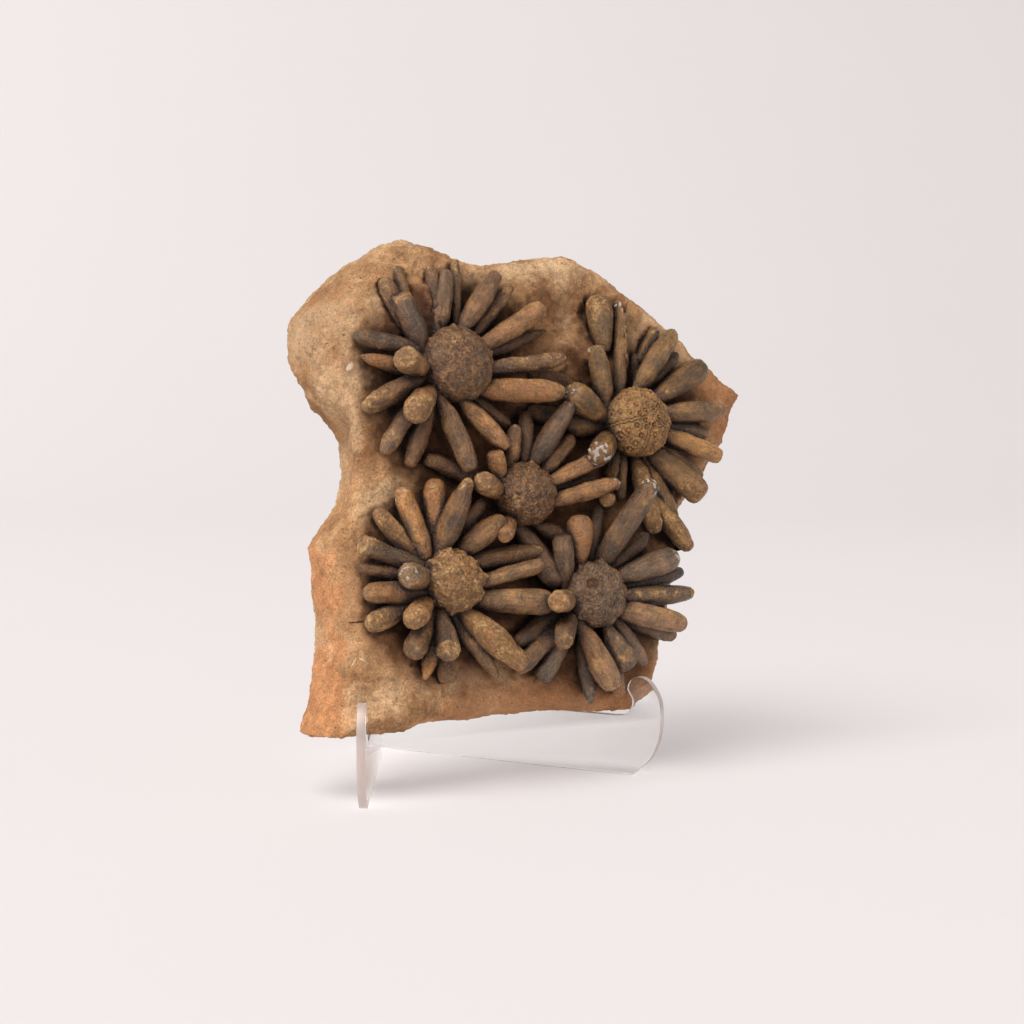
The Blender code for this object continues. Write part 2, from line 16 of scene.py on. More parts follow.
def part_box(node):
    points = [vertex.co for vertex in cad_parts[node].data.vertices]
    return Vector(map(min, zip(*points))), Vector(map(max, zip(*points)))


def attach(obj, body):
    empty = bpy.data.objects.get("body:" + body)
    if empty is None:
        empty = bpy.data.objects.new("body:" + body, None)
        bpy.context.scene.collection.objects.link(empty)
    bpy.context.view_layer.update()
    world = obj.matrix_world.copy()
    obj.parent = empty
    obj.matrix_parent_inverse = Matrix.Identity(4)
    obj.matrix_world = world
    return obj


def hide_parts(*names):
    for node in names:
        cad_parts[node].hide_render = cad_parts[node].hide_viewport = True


MM = 0.001
MERGE = 0.01 * MM

# The camera stands to the left of the slab's front and looks slightly down.
CAMERA_PLACE = (-0.497, -0.828, 0.191)
CAMERA_DOWN = math.radians(4.1)
CAMERA_RIGHT = math.radians(30.8)
LENS, SENSOR = 70, 36           # mm

# The studio: a pale sweep that runs up all round, one broad soft light and a pale surround.
FLOOR_FLAT = 1.6                # from its middle to where it starts to bend up, in metres
FLOOR_CURVE = 2.5               # radius of the bend from floor to wall
FLOOR_CORNER = 0.9              # radius of its corners
FLOOR_CORNER_STEPS = 12
FLOOR_BEND_STEPS = 20
KEY_HEADING = math.radians(198)     # where the light comes from, anticlockwise from +X
KEY_HEIGHT = math.radians(54)       # above the floor
KEY_WIDTH = math.radians(46)        # how broad it looks from the object
KEY_DISTANCE = 12.0
KEY_COLOUR, WORLD_COLOUR = "#FFFCF9", "#FFFDFD"
KEY_STRENGTH = 1.28             # light on a facing white surface, as a share of full white
WORLD_STRENGTH = 0.16
PAPER_GLOW = 0.40               # the paper is also lit from behind, which thins its shadows
GLOW_FALL = (0.032, 0.019)      # how that light falls off per metre to the right and away
# Light runs along inside the clear plates and turns back many times.
LIGHT_TURNS = dict(glossy_bounces=16, transmission_bounces=20, max_bounces=24)

# The slab's front face: its zero point, and how far it leans back.
FACE_ZERO = (-43 * MM, -54 * MM, 40 * MM)
RECLINE = math.radians(15)
THICKNESS = 43                  # mm
SEAT_HEIGHT = 27.9              # mm, where the easel carries the slab
GAP = 0.3                       # mm, clearance between pieces that touch
FACE = Matrix.Translation(FACE_ZERO) @ Matrix.Rotation(math.pi / 2 - RECLINE, 4, "X")
FACE_MM = FACE @ Matrix.Scale(MM, 4)

# The stone's surface.
POCKET_REACH = 0.45 * MM        # a face of the slab this near an urchin is a pocket's wall
GRID_START = (-95.0, -20.0)     # mm across and up, where the grid of heights starts
GRID_STEP = 1.5
GRID_COUNT = (186, 170)
RAY_START = 60.0                # mm in front of the face
FRONT_DEPTH = -14.0             # what lies deeper, in mm, belongs to the sides
FILL_ROUNDS = 500
BLOCK_DEPTH = 12.0              # mm, how thick the blocks that fill the pockets are
VOXEL = 1.15 * MM
SLAB_TRIANGLES = 190000
FILLET_REACH = 4.5              # mm, how far from a spine the stone starts to climb it
FILLET_RISE = 1.5               # mm
# Spots on the face: middle and reach across and up, in mm. First the crumpled hollow below
# the lip of the top edge and what it is carved by, then spots of colour; the pale one along
# the lip is a painted highlight.
HOLLOW, HOLLOW_DEPTH, HOLLOW_CRUMPLE = ((60, 184), (30, 15)), 4.5, 2.4
LIP_HIGHLIGHT, CROWN = ((58, 207), (26, 6)), ((-14, 197), (14, 16))
FOOT, NOTCH = ((-48, 8), (16, 12)), ((-62, 132), (11, 16))
# The stone's lumps: their width and height in mm, and whether they are sharp.
LUMPS = ((22, 3.0, False), (8, 2.0, False), (3, 1.4, True))
# Ridges of stone left between spines: start, end (across, up), half width and rise, in mm.
RIDGES = (
    ((-14, 194), (-8, 172), 2.6, 5.0),
    ((97, 192), (92, 152), 2.4, 6.0),
    ((-27, 186), (-17, 170), 2.4, 3.5),
    ((12, 186), (6, 174), 2.0, 3.5),
    ((64, 168), (78, 150), 3.2, 4.0),
    ((-2, 108), (-14, 84), 2.6, 3.0),
)
# The flank's ridge, below its top end: how it leans left and how far the stone drops past it.
RIDGE_TOP, RIDGE_LEAN, RIDGE_DROP = (-67, 69), 0.134, 3.2
# Small marks on the stone: middle (across, up), turn in degrees, half length and half width.
CHALK_MARKS = (
    ((-77, 73.5), 35, 2.2, 0.9), ((-67, 155.6), 80, 2.6, 1.1), ((-53, 158), 60, 2.2, 1.2),
    ((-74, -4), 60, 5.0, 1.0), ((-78, -8), 50, 3.2, 0.8), ((-64.5, 24), -38, 2.8, 0.30),
    ((-68.5, 23.6), 55, 2.6, 0.30),
)
DARK_MARKS = (
    ((-66, 41.5), -4, 6.2, 0.55), ((-80.5, 177), 0, 0.9, 0.7), ((-74.3, 180.3), 0, 0.9, 0.7),
    ((-79, 30), 75, 2.6, 0.5), ((-58, 110), 20, 1.6, 0.7), ((-42, 20), 60, 1.2, 0.7),
)
MARK_DEPTH = 5.0                # mm, how far in front of and behind the face a mark reaches

# Grime and painted shade gather where a surface is shut in: rays this long, in this many
# directions, test it.
OCCLUSION_REACH = 20 * MM
OCCLUSION_RAYS = 26
OCCLUSION_START = 0.5 * MM           # how far off the surface a ray starts
# One point in so many is tested: the slab's, the tests', the spines' and the loose spines'.
SLAB_STRIDE, TEST_STRIDE, SPINE_STRIDE, LOOSE_STRIDE = 2, 6, 2, 1

SPINE_CAGE_SIDES, SPINE_SUBDIVISIONS = 8, 2
# Steps that tell a spine's points apart, set so that none lies between two steps.
TURN_STEPS, HEIGHT_STEP, HEIGHT_SHIFT = 64, 0.0001, 0.3164
TEST_SINK = 3                   # mm, how deep a test's underside sits in the stone
LOOSE_SEED = 201                # the loose spines' own noise starts at this number
NECK_GRIP = 5.0                 # mm, how far inside a test its spines' necks end
TEST_SUBDIVISIONS = 7

# A spine's outline, neck to tip: (place, share of its full radius). Places run from -1 at
# the neck's end over 0 at the foot to 1 at the tip.
SPINE_KINDS = {
    "cigar": ((-1, 0.34), (-0.3, 0.42), (0, 0.56), (0.07, 0.74), (0.16, 0.91), (0.30, 1.0),
              (0.56, 1.0), (0.76, 0.92), (0.88, 0.78), (0.955, 0.58), (0.99, 0.30)),
    "club": ((-1, 0.28), (-0.3, 0.34), (0, 0.46), (0.10, 0.60), (0.26, 0.80), (0.46, 0.95),
             (0.66, 1.03), (0.82, 1.00), (0.92, 0.84), (0.975, 0.58), (1.0, 0.26)),
    "point": ((-1, 0.34), (-0.3, 0.42), (0, 0.54), (0.08, 0.76), (0.20, 0.95), (0.36, 1.0),
              (0.56, 0.93), (0.72, 0.78), (0.84, 0.60), (0.93, 0.40), (1.0, 0.16)),
    "blunt": ((-1, 0.40), (-0.3, 0.50), (0, 0.66), (0.10, 0.82), (0.26, 0.94), (0.50, 1.0),
              (0.72, 1.01), (0.88, 0.98), (0.95, 0.88), (0.988, 0.70), (1.0, 0.40)),
    "slim": ((-1, 0.44), (-0.3, 0.54), (0, 0.68), (0.08, 0.84), (0.20, 0.96), (0.40, 1.0),
             (0.60, 0.99), (0.78, 0.93), (0.90, 0.80), (0.96, 0.60), (0.996, 0.30)),
    "knob": ((-1, 0.34), (-0.3, 0.40), (0, 0.52), (0.12, 0.80), (0.30, 0.98), (0.48, 1.03),
             (0.62, 0.96), (0.73, 0.80), (0.82, 0.70), (0.92, 0.68), (0.985, 0.42)),
}

# Each urchin: its slot, its calcite at its dullest and at its warmest, the middle of its test
# on the face and the test's width and height in mm. Then the test's relief: how much larger
# it stands than its plain form, how high its lumps, granules, ringed knobs and scallops are
# in mm, and where its first furrow runs (degrees anticlockwise from the right); how light,
# ochre and warm it is; its pointed knobs (clock and angle from its top in degrees, and size
# in mm); its ochre patches (clock, angle from its top and reach, in degrees); and a sunken
# middle where it is worn (clock, angle, and its radius and depth in mm).
TESTS = {
    "urchin_top_left": dict(
        slot="urchin_dark", dull="#6A503A", warm="#885D34",
        middle=(-4, 156), width=33, height=25,
        swell=1.08, lumps=0.3, granules=0.34, rings=0.22, scallops=0.35,
        turn=100, light=0.38, ochre=0.1, warmth=0.7,
        knobs=((94, 72, 1.5), (16, 72, 1.5), (54, 80, 1.0), (140, 78, 1.0)),
        patches=((110, 40, 12),)),
    "urchin_top_right": dict(
        slot="urchin_olive", dull="#745A3B", warm="#966934",
        middle=(91, 127), width=34, height=27,
        swell=1.0, lumps=0.15, granules=0.08, rings=1.0, scallops=0.2,
        turn=187, light=0.7, ochre=0.12, warmth=0.65,
        knobs=((60, 80, 0.9),),
        patches=((165, 68, 30),)),
    "urchin_centre": dict(
        slot="urchin_brown", dull="#6A503A", warm="#885D34",
        middle=(24, 94), width=30, height=24,
        swell=0.98, lumps=0.55, granules=0.42, rings=0.3, scallops=0.4,
        turn=52, light=0.34, ochre=0.06, warmth=0.9,
        knobs=((20, 70, 1.2), (75, 76, 1.0), (150, 80, 1.1)),
        patches=((200, 45, 14),)),
    "urchin_bottom_left": dict(
        slot="urchin_ochre", dull="#72583C", warm="#946434",
        middle=(-21, 55), width=30, height=24,
        swell=1.0, lumps=1.1, granules=0.36, rings=0.2, scallops=0.5,
        turn=20, light=0.62, ochre=0.26, warmth=0.65,
        knobs=((96, 66, 1.7), (4, 60, 1.6), (334, 66, 1.2), (142, 70, 1.5), (60, 74, 1.2),
               (256, 74, 1.3)),
        patches=((158, 55, 34), (285, 52, 44))),
    "urchin_bottom_right": dict(
        slot="urchin_grey", dull="#5E5247", warm="#855D36",
        middle=(54, 45), width=32, height=24,
        swell=1.0, lumps=0.4, granules=0.34, rings=0.4, scallops=0.6,
        turn=61, light=0.46, ochre=0, warmth=0.5,
        knobs=((20, 74, 1.1), (340, 76, 1.1), (75, 74, 1.1), (120, 76, 1.1)),
        patches=((330, 40, 16),), pit=(152, 30, 3.6, 1.9)),
}

# The knobs and furrows of a test.
KNOB_ROW = (18, 35, 53, 71)     # degrees from the top of a test to the knobs of one row
KNOB_SWING = 15                 # degrees from the middle of a plate row to its knobs
KNOB_SIZE, KNOB_DISH, KNOB_RING, RING_WIDTH = 0.75, 1.7, 2.15, 0.48     # mm
FURROW_HALF, FURROW_WIDTH, FURROW_WAVE = 0.8, 0.32, 2.3                 # mm

# How a spine's surface looks all along: (lightness, warmth, ochre crust, rust stain), 0 to 1.
COATS = {
    # dark: a near-black coat, mostly painted shade, for the low spines that lie in the shadow
    # of others.
    "dark": (0.14, 0.60, 0.05, 0.00),
    "slate": (0.24, 0.06, 0.12, 0.00),
    "grey": (0.46, 0.22, 0.16, 0.00),
    "olive": (0.42, 0.35, 0.30, 0.00),
    "umber": (0.34, 0.58, 0.18, 0.10),
    "bark": (0.12, 0.85, 0.12, 0.10),
    "brown": (0.46, 0.66, 0.20, 0.12),
    "mauve": (0.50, 0.34, 0.10, 0.06),
    "tan": (0.72, 0.76, 0.28, 0.14),
    "mottled": (0.42, 0.40, 0.50, 0.10),
    "ochre": (0.76, 0.78, 0.80, 0.12),
    "rust": (0.74, 0.84, 0.24, 0.52),
    "fox": (0.86, 0.90, 0.40, 0.60),
    "sandy": (0.78, 0.85, 0.85, 0.12),
}

# What its last stretch carries: (where it starts along the spine, ochre, white, lightness).
TIPS = {
    "plain": (0.88, 0.10, 0.05, 0.08),
    "chalk": (0.80, 0.10, 1.00, 0.14),
    "speck": (0.70, 0.10, 0.62, 0.08),
    "crust": (0.60, 0.75, 0.15, 0.22),
    "ochre": (0.72, 0.60, 0.00, 0.20),
    "grey": (0.80, -0.60, 0.10, -0.14),
    "broken": (0.80, 0.70, 0.20, 0.60),
    "worn": (0.86, 0.10, 0.00, 0.40),
}

# Each spine: where its foot stands round the test (degrees anticlockwise from the right),
# its distance from the test's middle, its height off the face, where it points on the same
# clock, how steeply it rises, its length and its girth (mm and degrees), its kind, its coat
# and its tip.
SPINES = {
    "urchin_top_left": """
        151 18 8 111 6 28 11.5 cigar slate broken
        142 26 5.5 111 0 28 8 club umber plain
        103 26 5 86 0 24 6.5 cigar olive plain
        104 19 6 74 -1 30 9.5 cigar mauve plain
        74 24 4 84 0 30 5.5 slim umber crust
        69 20 8 50 2 35 10.5 knob brown grey
        48 22 5 45 -1 35 7.5 cigar mottled crust
        31 19 9 27 1 40 10 blunt tan plain
        18 20 5 19 -3 39 6.5 point dark plain
        354 18 9 6 3 42 8 slim mottled plain
        316 17 9 356 8 42 11.5 cigar fox ochre
        274 18 9 308 8 30 9.5 cigar tan plain
        307 19 4 320 0 21 6 slim dark plain
        243 21 9 283 10 35 10.5 cigar mauve plain
        232 21 5 242 0 34 9 cigar umber plain
        219 18 8 218 33 31 12.5 club tan crust
        216 26 6 230 1 33 8.5 cigar grey crust
        198 20 8 204 2 34 10 cigar umber ochre
        185 17 8 178 41 25 11.5 blunt tan crust
        184 22 6 165 0 26 8 point rust grey
        158 20 8 167 -2 32 8.5 cigar slate plain""",
    "urchin_top_right": """
        141 19 9 101 11 27 10 cigar umber chalk
        96 19 4 80 -1 46 7 slim umber chalk
        72 20 8 47 2 38 10.5 cigar umber speck
        54 26 4 37 -2 26 7.5 cigar dark plain
        40 18 8 28 2 36 13 club bark speck
        15 19 9 1 3 36 10.5 cigar umber speck
        0 20 4 350 0 27 7.5 cigar dark plain
        341 18 9 337 4 32 9 blunt tan plain
        324 21 5 325 0 26 7.5 cigar dark plain
        300 18 8 315 8 32 13 blunt umber crust
        272 18 5 276 2 37 10 cigar ochre speck
        249 16 3 257 -2 22 6 slim dark plain
        234 17 3 252 -3 15 7 slim dark plain
        170 17 8 150 12 26 14 club umber speck
        184 15 4 174 0 23 10.5 club dark plain
        289 22 5 293 -2 30 8.5 cigar brown plain
        204 17 7 215 36 24 12 blunt bark chalk""",
    "urchin_centre": """
        64 17 8 52 10 35 10 cigar slate speck
        40 17 6 42 2 25 9.5 cigar brown plain
        20 15 9 21 7 33 8 blunt tan broken
        10 18 4 10 0 26 6 slim dark plain
        345 15 9 11 10 36 8.5 slim tan chalk
        76 16 5 78 0 26 8 cigar dark plain
        110 15 7 76 6 20 7.5 cigar brown speck
        148 14 9 112 20 14 8.5 blunt rust plain
        172 14 8 170 40 20 10.5 blunt tan ochre
        160 18 3 155 2 34 8.5 slim umber plain
        297 16 5 329 8 24 8 cigar grey plain
        256 14 4 299 2 35 12 club grey plain
        232 14 7 222 36 19 8 blunt tan plain""",
    "urchin_bottom_left": """
        132 15 7 104 0 35 10.5 cigar tan speck
        137 20 5 128 0 28 8.5 cigar ochre crust
        150 16 8 159 2 33 8.5 blunt slate broken
        166 20 6 168 -2 27 7.5 point umber plain
        172 13 8 178 44 25 12 club grey speck
        196 14 8 177 0 31 10.5 cigar brown plain
        203 19 6 200 2 28 9 club mottled crust
        211 14 8 212 34 25 11 club tan ochre
        230 17 7 232 6 25 10.5 club mottled plain
        250 18 4 246 0 28 8.5 point tan plain
        240 15 9 264 18 24 10.5 club slate crust
        260 18 4 264 0 27 9.5 blunt umber plain
        277 17 6 303 -2 33 8.5 point olive plain
        286 15 9 312 12 38 12.5 knob ochre grey
        326 15 9 352 10 36 12 blunt mauve plain
        355 14 10 11 12 33 8 slim mauve plain
        35 15 6 6 2 40 9 slim mottled plain
        64 16 9 30 14 26 11 cigar brown plain
        105 15 9 65 16 36 12 point bark ochre
        100 18 5 84 2 31 11 club rust plain
        64 20 4 50 0 27 7 cigar dark plain""",
    "urchin_bottom_right": """
        67 17 9 54 22 46 11.5 slim bark chalk
        43 17 5 33 0 30 8.5 cigar dark plain
        29 15 9 13 5 36 12.5 club mauve chalk
        7 18 4 10 0 38 9 cigar dark plain
        353 16 8 359 0 41 9.5 cigar mottled plain
        326 15 10 344 6 36 11.5 cigar tan plain
        328 21 4 339 0 31 9 cigar umber plain
        313 16 6 303 -2 28 8 cigar mauve plain
        284 16 9 290 10 23 11 club mottled plain
        240 18 9 287 11 32 12 club tan plain
        286 24 4 276 0 26 8.5 cigar rust plain
        250 21 4 272 -2 31 8 point slate plain
        212 17 7 222 40 28.6 10 cigar umber ochre
        226 21 5 231 -2 28 9.5 blunt grey plain
        212 21 6 218 0 35 9.5 cigar brown plain
        199 18 5 208 0 30 9.5 cigar dark plain
        189 14 8 186 46 26.5 10.5 blunt tan worn
        110 16 9 93 18 23 12.5 club rust plain
        152 17 9 96 18 21 9.5 blunt umber grey
        79 16 5 72 0 30 7 slim dark plain""",
}

# Loose spines set in the stone itself: foot (across, up, out) and then as above.
LOOSE_SPINES = """
    85 165 1 95 6 28 12.5 club olive crust
    104 160 1 51 -2 23 5.5 slim dark speck
    97 92 3 303 5 34 10 cigar ochre plain"""
# Bits of spines among the others, too small to stand in the slab's own solid.
SPINE_BITS = """
    74 92 2 200 52 15 8 blunt sandy plain
    66 146 -1 160 3 27 10.5 cigar umber plain
    62 132 -1 172 2 26 9 cigar mauve plain
    -22 190 1 98 3 15 6.5 slim olive plain
    101 149 0 82 0 16 4.8 slim dark plain"""

# The loose spines have the calcite of this urchin, the one at the top right.
LOOSE_SLOT = "urchin_olive"

# The easel's plates: the same outline for both, in mm.
SHEET = 4.0
EDGE_BREAK = 0.25               # how far the plates' edges are rounded
EDGE_ANGLE = math.radians(35)   # edges sharper than this stay crisp
HALF_V = math.radians(30)
CROSSING = Vector((-43, 64, 0))
FACE_AHEAD = 118
FACE_RISE = 40
FOOT_LENGTH = 142
TAIL, TAIL_HEIGHT = 10, 36
HOOK_THROAT = 9
UPRIGHT_HEIGHT, UPRIGHT_WIDTH, UPRIGHT_ROUND = 148, 14, 7
SPINE_REACH, SPINE_HEIGHT = 12, 44
SLOT_MIDDLE = 20
HOOK = ((11, 11), (15, 29), (12, 41), (3.5, 47), (-2.2, 42), (0.3, 35), (-2.6, 29.4))


# ---- working with objects ---------------------------------------------------------------

def deselect():
    bpy.ops.object.select_all(action="DESELECT")


def select_only(*objects):
    deselect()
    for obj in objects:
        obj.select_set(True)
    bpy.context.view_layer.objects.active = objects[0]


def apply_modifier(obj, kind, **settings):
    """Add a modifier with its settings and apply it at once."""
    select_only(obj)
    modifier = obj.modifiers.new(kind.title(), kind)
    for name, value in settings.items():
        setattr(modifier, name, value)
    bpy.ops.object.modifier_apply(modifier=modifier.name)


def read(mesh, field="co"):
    """The places of a mesh's points, or their normals, as rows of three numbers."""
    numbers = np.empty(len(mesh.vertices) * 3)
    mesh.vertices.foreach_get(field, numbers)
    return numbers.reshape(-1, 3)


def write_points(mesh, points):
    mesh.vertices.foreach_set("co", np.ascontiguousarray(points, dtype=np.float32).ravel())
    mesh.update()


def moved(points, matrix):
    """Points carried by a matrix, as rows of three numbers."""
    matrix = np.array(matrix)
    return points @ matrix[:3, :3].T + matrix[:3, 3]


def noise_at(points, size, shift):
    """Smooth noise from about -1 to 1 at each point; size is the width of its lumps."""
    spots = points / size + np.array(shift)
    return np.array([noise.noise(Vector(spot)) for spot in spots])


def smooth_step(values, low, high):
    share = np.clip((values - low) / (high - low), 0, 1)
    return share * share * (3 - 2 * share)


def store(mesh, name, *columns):
    """Keep one value at each point, or three, or four for a colour, as an attribute."""
    kind, field = {1: ("FLOAT", "value"), 3: ("FLOAT_VECTOR", "vector"),
                   4: ("FLOAT_COLOR", "color")}[len(columns)]
    values = np.stack(np.broadcast_arrays(*columns), axis=1).astype(np.float32)
    mesh.attributes.new(name, kind, "POINT").data.foreach_set(field, values.ravel())


def rows_of(table):
    """The rows of a table of spines: numbers, then the three words at the end."""
    for line in table.strip().splitlines():
        words = line.split()
        yield [float(word) for word in words[:-3]] + words[-3:]


def merge_corners(obj):
    """Join the loose triangles of a copied node into one skin."""
    skin = bmesh.new()
    skin.from_mesh(obj.data)
    bmesh.ops.remove_doubles(skin, verts=skin.verts, dist=MERGE)
    skin.to_mesh(obj.data)
    skin.free()


def join(objects, name):
    """Make one object of several, or of one, with a name and smooth faces."""
    select_only(*objects)
    if len(objects) > 1:
        bpy.ops.object.join()
    joined = bpy.context.view_layer.objects.active
    joined.name = name
    joined.data.name = name
    bpy.ops.object.shade_smooth()
    return joined


def dress(piece, material, slot, *nodes):
    """Give a finished piece its material and its body, and hide the nodes it stands for; its
    slot is not used.
    """
    piece.data.materials.clear()
    piece.data.materials.append(material)
    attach(piece, "root")
    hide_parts(*nodes)


# ---- materials --------------------------------------------------------------------------

def colour(code):
    """An sRGB hex colour turned to linear red, green, blue and full opacity."""
    parts = [int(code[i:i + 2], 16) / 255 for i in (1, 3, 5)]
    linear = [part / 12.92 if part <= 0.04045 else ((part + 0.055) / 1.055) ** 2.4
              for part in parts]
    return (*linear, 1.0)


def add(tree, kind, inputs=None, stops=(), **settings):
    """Add a node: its own settings, its sockets' values or links, and a ramp's stops."""
    made = tree.nodes.new(kind)
    for name, value in settings.items():
        setattr(made, name, value)
    for socket, value in (inputs or {}).items():
        if isinstance(value, bpy.types.NodeSocket):
            tree.links.new(value, made.inputs[socket])
        else:
            made.inputs[socket].default_value = value
    for number, (place, code) in enumerate(stops):
        stop = (made.color_ramp.elements[number] if number < 2
                else made.color_ramp.elements.new(place))
        stop.position = place
        stop.color = colour(code)
    return made


def new_material(name, constants):
    """A new material, with the constants of its finish."""
    material = bpy.data.materials.new(name)
    material.use_nodes = True
    shader = material.node_tree.nodes["Principled BSDF"]
    for socket, value in constants.items():
        shader.inputs[socket].default_value = value
    return material, material.node_tree, shader


def total(tree, *parts):
    """The sum of several measures, each given with its weight."""
    value = 0.0
    for part, weight in parts:
        value = add(tree, "ShaderNodeMath", {0: part, 1: weight, 2: value},
                    operation="MULTIPLY_ADD").outputs[0]
    return value


def covered(tree, under, *layers):
    """Lay colours over one another. Each grows from none to its share of the whole while
    its measure goes from the first value to the second."""
    for measure, first, second, share, code in layers:
        mask = add(tree, "ShaderNodeMapRange", {0: measure, 1: first, 2: second, 3: 0.0,
                                                4: share}).outputs[0]
        over = colour(code) if isinstance(code, str) else code
        under = add(tree, "ShaderNodeMix", {0: mask, 6: under, 7: over}, data_type="RGBA"
                    ).outputs[2]
    return under


def shaded(tree, hue, *shades):
    """Make a colour darker or lighter by several measures: from where to where each one
    goes, and what it multiplies the colour by at either end."""
    tone = 1.0
    for measure, first, second, dark, light in shades:
        share = add(tree, "ShaderNodeMapRange", {0: measure, 1: first, 2: second, 3: dark,
                                                 4: light}).outputs[0]
        tone = add(tree, "ShaderNodeMath", {0: tone, 1: share}, operation="MULTIPLY"
                   ).outputs[0]
    return add(tree, "ShaderNodeVectorMath", {0: hue, "Scale": tone}, operation="SCALE"
               ).outputs[0]


def emboss(tree, shader, *reliefs):
    """Lay fine reliefs over one another: a height, its strength and its depth in mm."""
    inputs = {}
    for height, strength, depth in reliefs:
        inputs.update({"Height": height, "Strength": strength, "Distance": depth * MM})
        inputs["Normal"] = add(tree, "ShaderNodeBump", inputs).outputs[0]
    tree.links.new(inputs["Normal"], shader.inputs["Normal"])


def calcite_material(name, dull, warm):
    """Urchin calcite turned to stone: finely striped along each spine, stained and crusted.

    It has a satin shine where it is bare. The attributes say how light and warm each spine
    is, where it is crusted, and where it is shut in, which darkens it as grime and painted
    shade."""
    material, tree, shader = new_material(name, {
        "IOR": 1.55, "Specular IOR Level": 0.6, "Coat Weight": 0.08, "Coat Roughness": 0.30})
    place = add(tree, "ShaderNodeTexCoord").outputs["Object"]
    grain = add(tree, "ShaderNodeAttribute", attribute_name="grain").outputs["Vector"]
    dirt_and_shade = add(tree, "ShaderNodeAttribute", attribute_name="dirt_and_shade").outputs["Fac"]
    (lightness, warmth, _), (ochre, white, rust) = (
        add(tree, "ShaderNodeSeparateColor", {0: add(
            tree, "ShaderNodeAttribute", attribute_name=zone).outputs["Color"]}).outputs
        for zone in ("coat", "crust"))
    # The striae are 0.5 mm apart in life, and drawn twice as coarse so that they show.
    blotch, speck, film, striae = (
        add(tree, "ShaderNodeTexNoise", {"Vector": where, "Scale": 1 / width, "Detail": detail,
                                         "Roughness": rough}).outputs["Fac"]
        for where, width, detail, rough in (
            (place, 5 * MM, 6.0, 0.65), (place, 1 * MM, 3.0, 0.8), (place, 9 * MM, 5.0, 0.7),
            (grain, 1.15, 3.0, 0.7)))
    # The crust is made of grains 1 mm wide.
    grains = add(tree, "ShaderNodeTexVoronoi", {"Vector": place, "Scale": 1 / MM})
    crumb = add(tree, "ShaderNodeSeparateColor", {0: grains.outputs["Color"]}).outputs[0]
    gold = total(tree, (crumb, 0.30), (blotch, 1.0))
    crust_colour = add(tree, "ShaderNodeValToRGB", {0: gold}, stops=(
        (0.46, "#6C4C2C"), (0.62, "#8C643A"), (0.74, "#AC8049"), (0.88, "#D2AC72"))
        ).outputs[0]
    rust_colour = covered(tree, colour("#8A5630"), (speck, 0.35, 0.65, 1.0, "#BC8048"))
    crusted = add(tree, "ShaderNodeMapRange", {
        0: total(tree, (ochre, 1.0), (blotch, 1.0), (crumb, 0.22)), 1: 0.98, 2: 1.22, 3: 0.0,
        4: 0.90}).outputs[0]
    dust_and_shade = total(tree, (blotch, 0.5), (dirt_and_shade, 1.0))
    # The bare calcite, from dull grey to warm brown and from dark to light.
    hue = covered(tree, colour(dull), (warmth, 0.0, 1.0, 1.0, warm),
                  (film, 0.50, 0.64, 0.45, "#685737"), (film, 0.46, 0.34, 0.50, "#8F683A"))
    bare = shaded(
        tree, hue, (lightness, 0.0, 1.0, 0.35, 2.17), (striae, 0.32, 0.68, 0.66, 1.38),
        (blotch, 0.32, 0.68, 0.62, 1.40), (speck, 0.34, 0.66, 0.68, 1.32))
    # Rust, ochre crust, brown grime and painted shade, darkest in the cracks, and white
    # crystals lie over it.
    full = covered(
        tree, bare,
        (total(tree, (rust, 1.0), (striae, 1.0), (blotch, 1.0)), 1.30, 1.72, 0.85,
         rust_colour),
        (crusted, 0.0, 1.0, 1.0, crust_colour),
        (dust_and_shade, 0.36, 0.72, 0.60, "#74492A"), (dust_and_shade, 0.50, 0.90, 0.93, "#24160E"),
        (total(tree, (white, 1.0), (speck, 1.0)), 1.04, 1.18, 0.88, "#D3CBC1"))
    tree.links.new(full, shader.inputs["Base Color"])
    emboss(tree, shader, (striae, 1.0, 0.9),
           (total(tree, (speck, 1.0), (blotch, 1.0)), 1.0, 1.1))
    rough = add(tree, "ShaderNodeMapRange", {
        0: total(tree, (crusted, 1.0), (blotch, 1.0)), 1: 0.45, 2: 1.3, 3: 0.25, 4: 0.68})
    tree.links.new(rough.outputs[0], shader.inputs["Roughness"])
    return material


def marks_mask(tree, place, marks, edge):
    """Where small oval marks lie on the face, with ragged edges, from 0 to 1."""
    mask = 0.0
    for (across, up), turn, length, width in marks:
        facing = FACE.to_3x3() @ Matrix.Rotation(math.radians(turn), 3, "Z")
        oval = add(tree, "ShaderNodeMapping", {
            "Vector": place, "Location": FACE_MM @ Vector((across, up, 0)),
            "Rotation": facing.to_euler(),
            "Scale": (length * MM, width * MM, MARK_DEPTH * MM)}, vector_type="TEXTURE")
        away = add(tree, "ShaderNodeVectorMath", {0: oval.outputs[0]}, operation="LENGTH"
                   ).outputs["Value"]
        inside = add(tree, "ShaderNodeMapRange", {
            0: total(tree, (edge, 2.0), (away, 1.0)), 1: 2.05, 2: 1.80, 3: 0.0, 4: 1.0})
        mask = add(tree, "ShaderNodeMath", {0: mask, 1: inside.outputs[0]},
                   operation="MAXIMUM").outputs[0]
    return mask


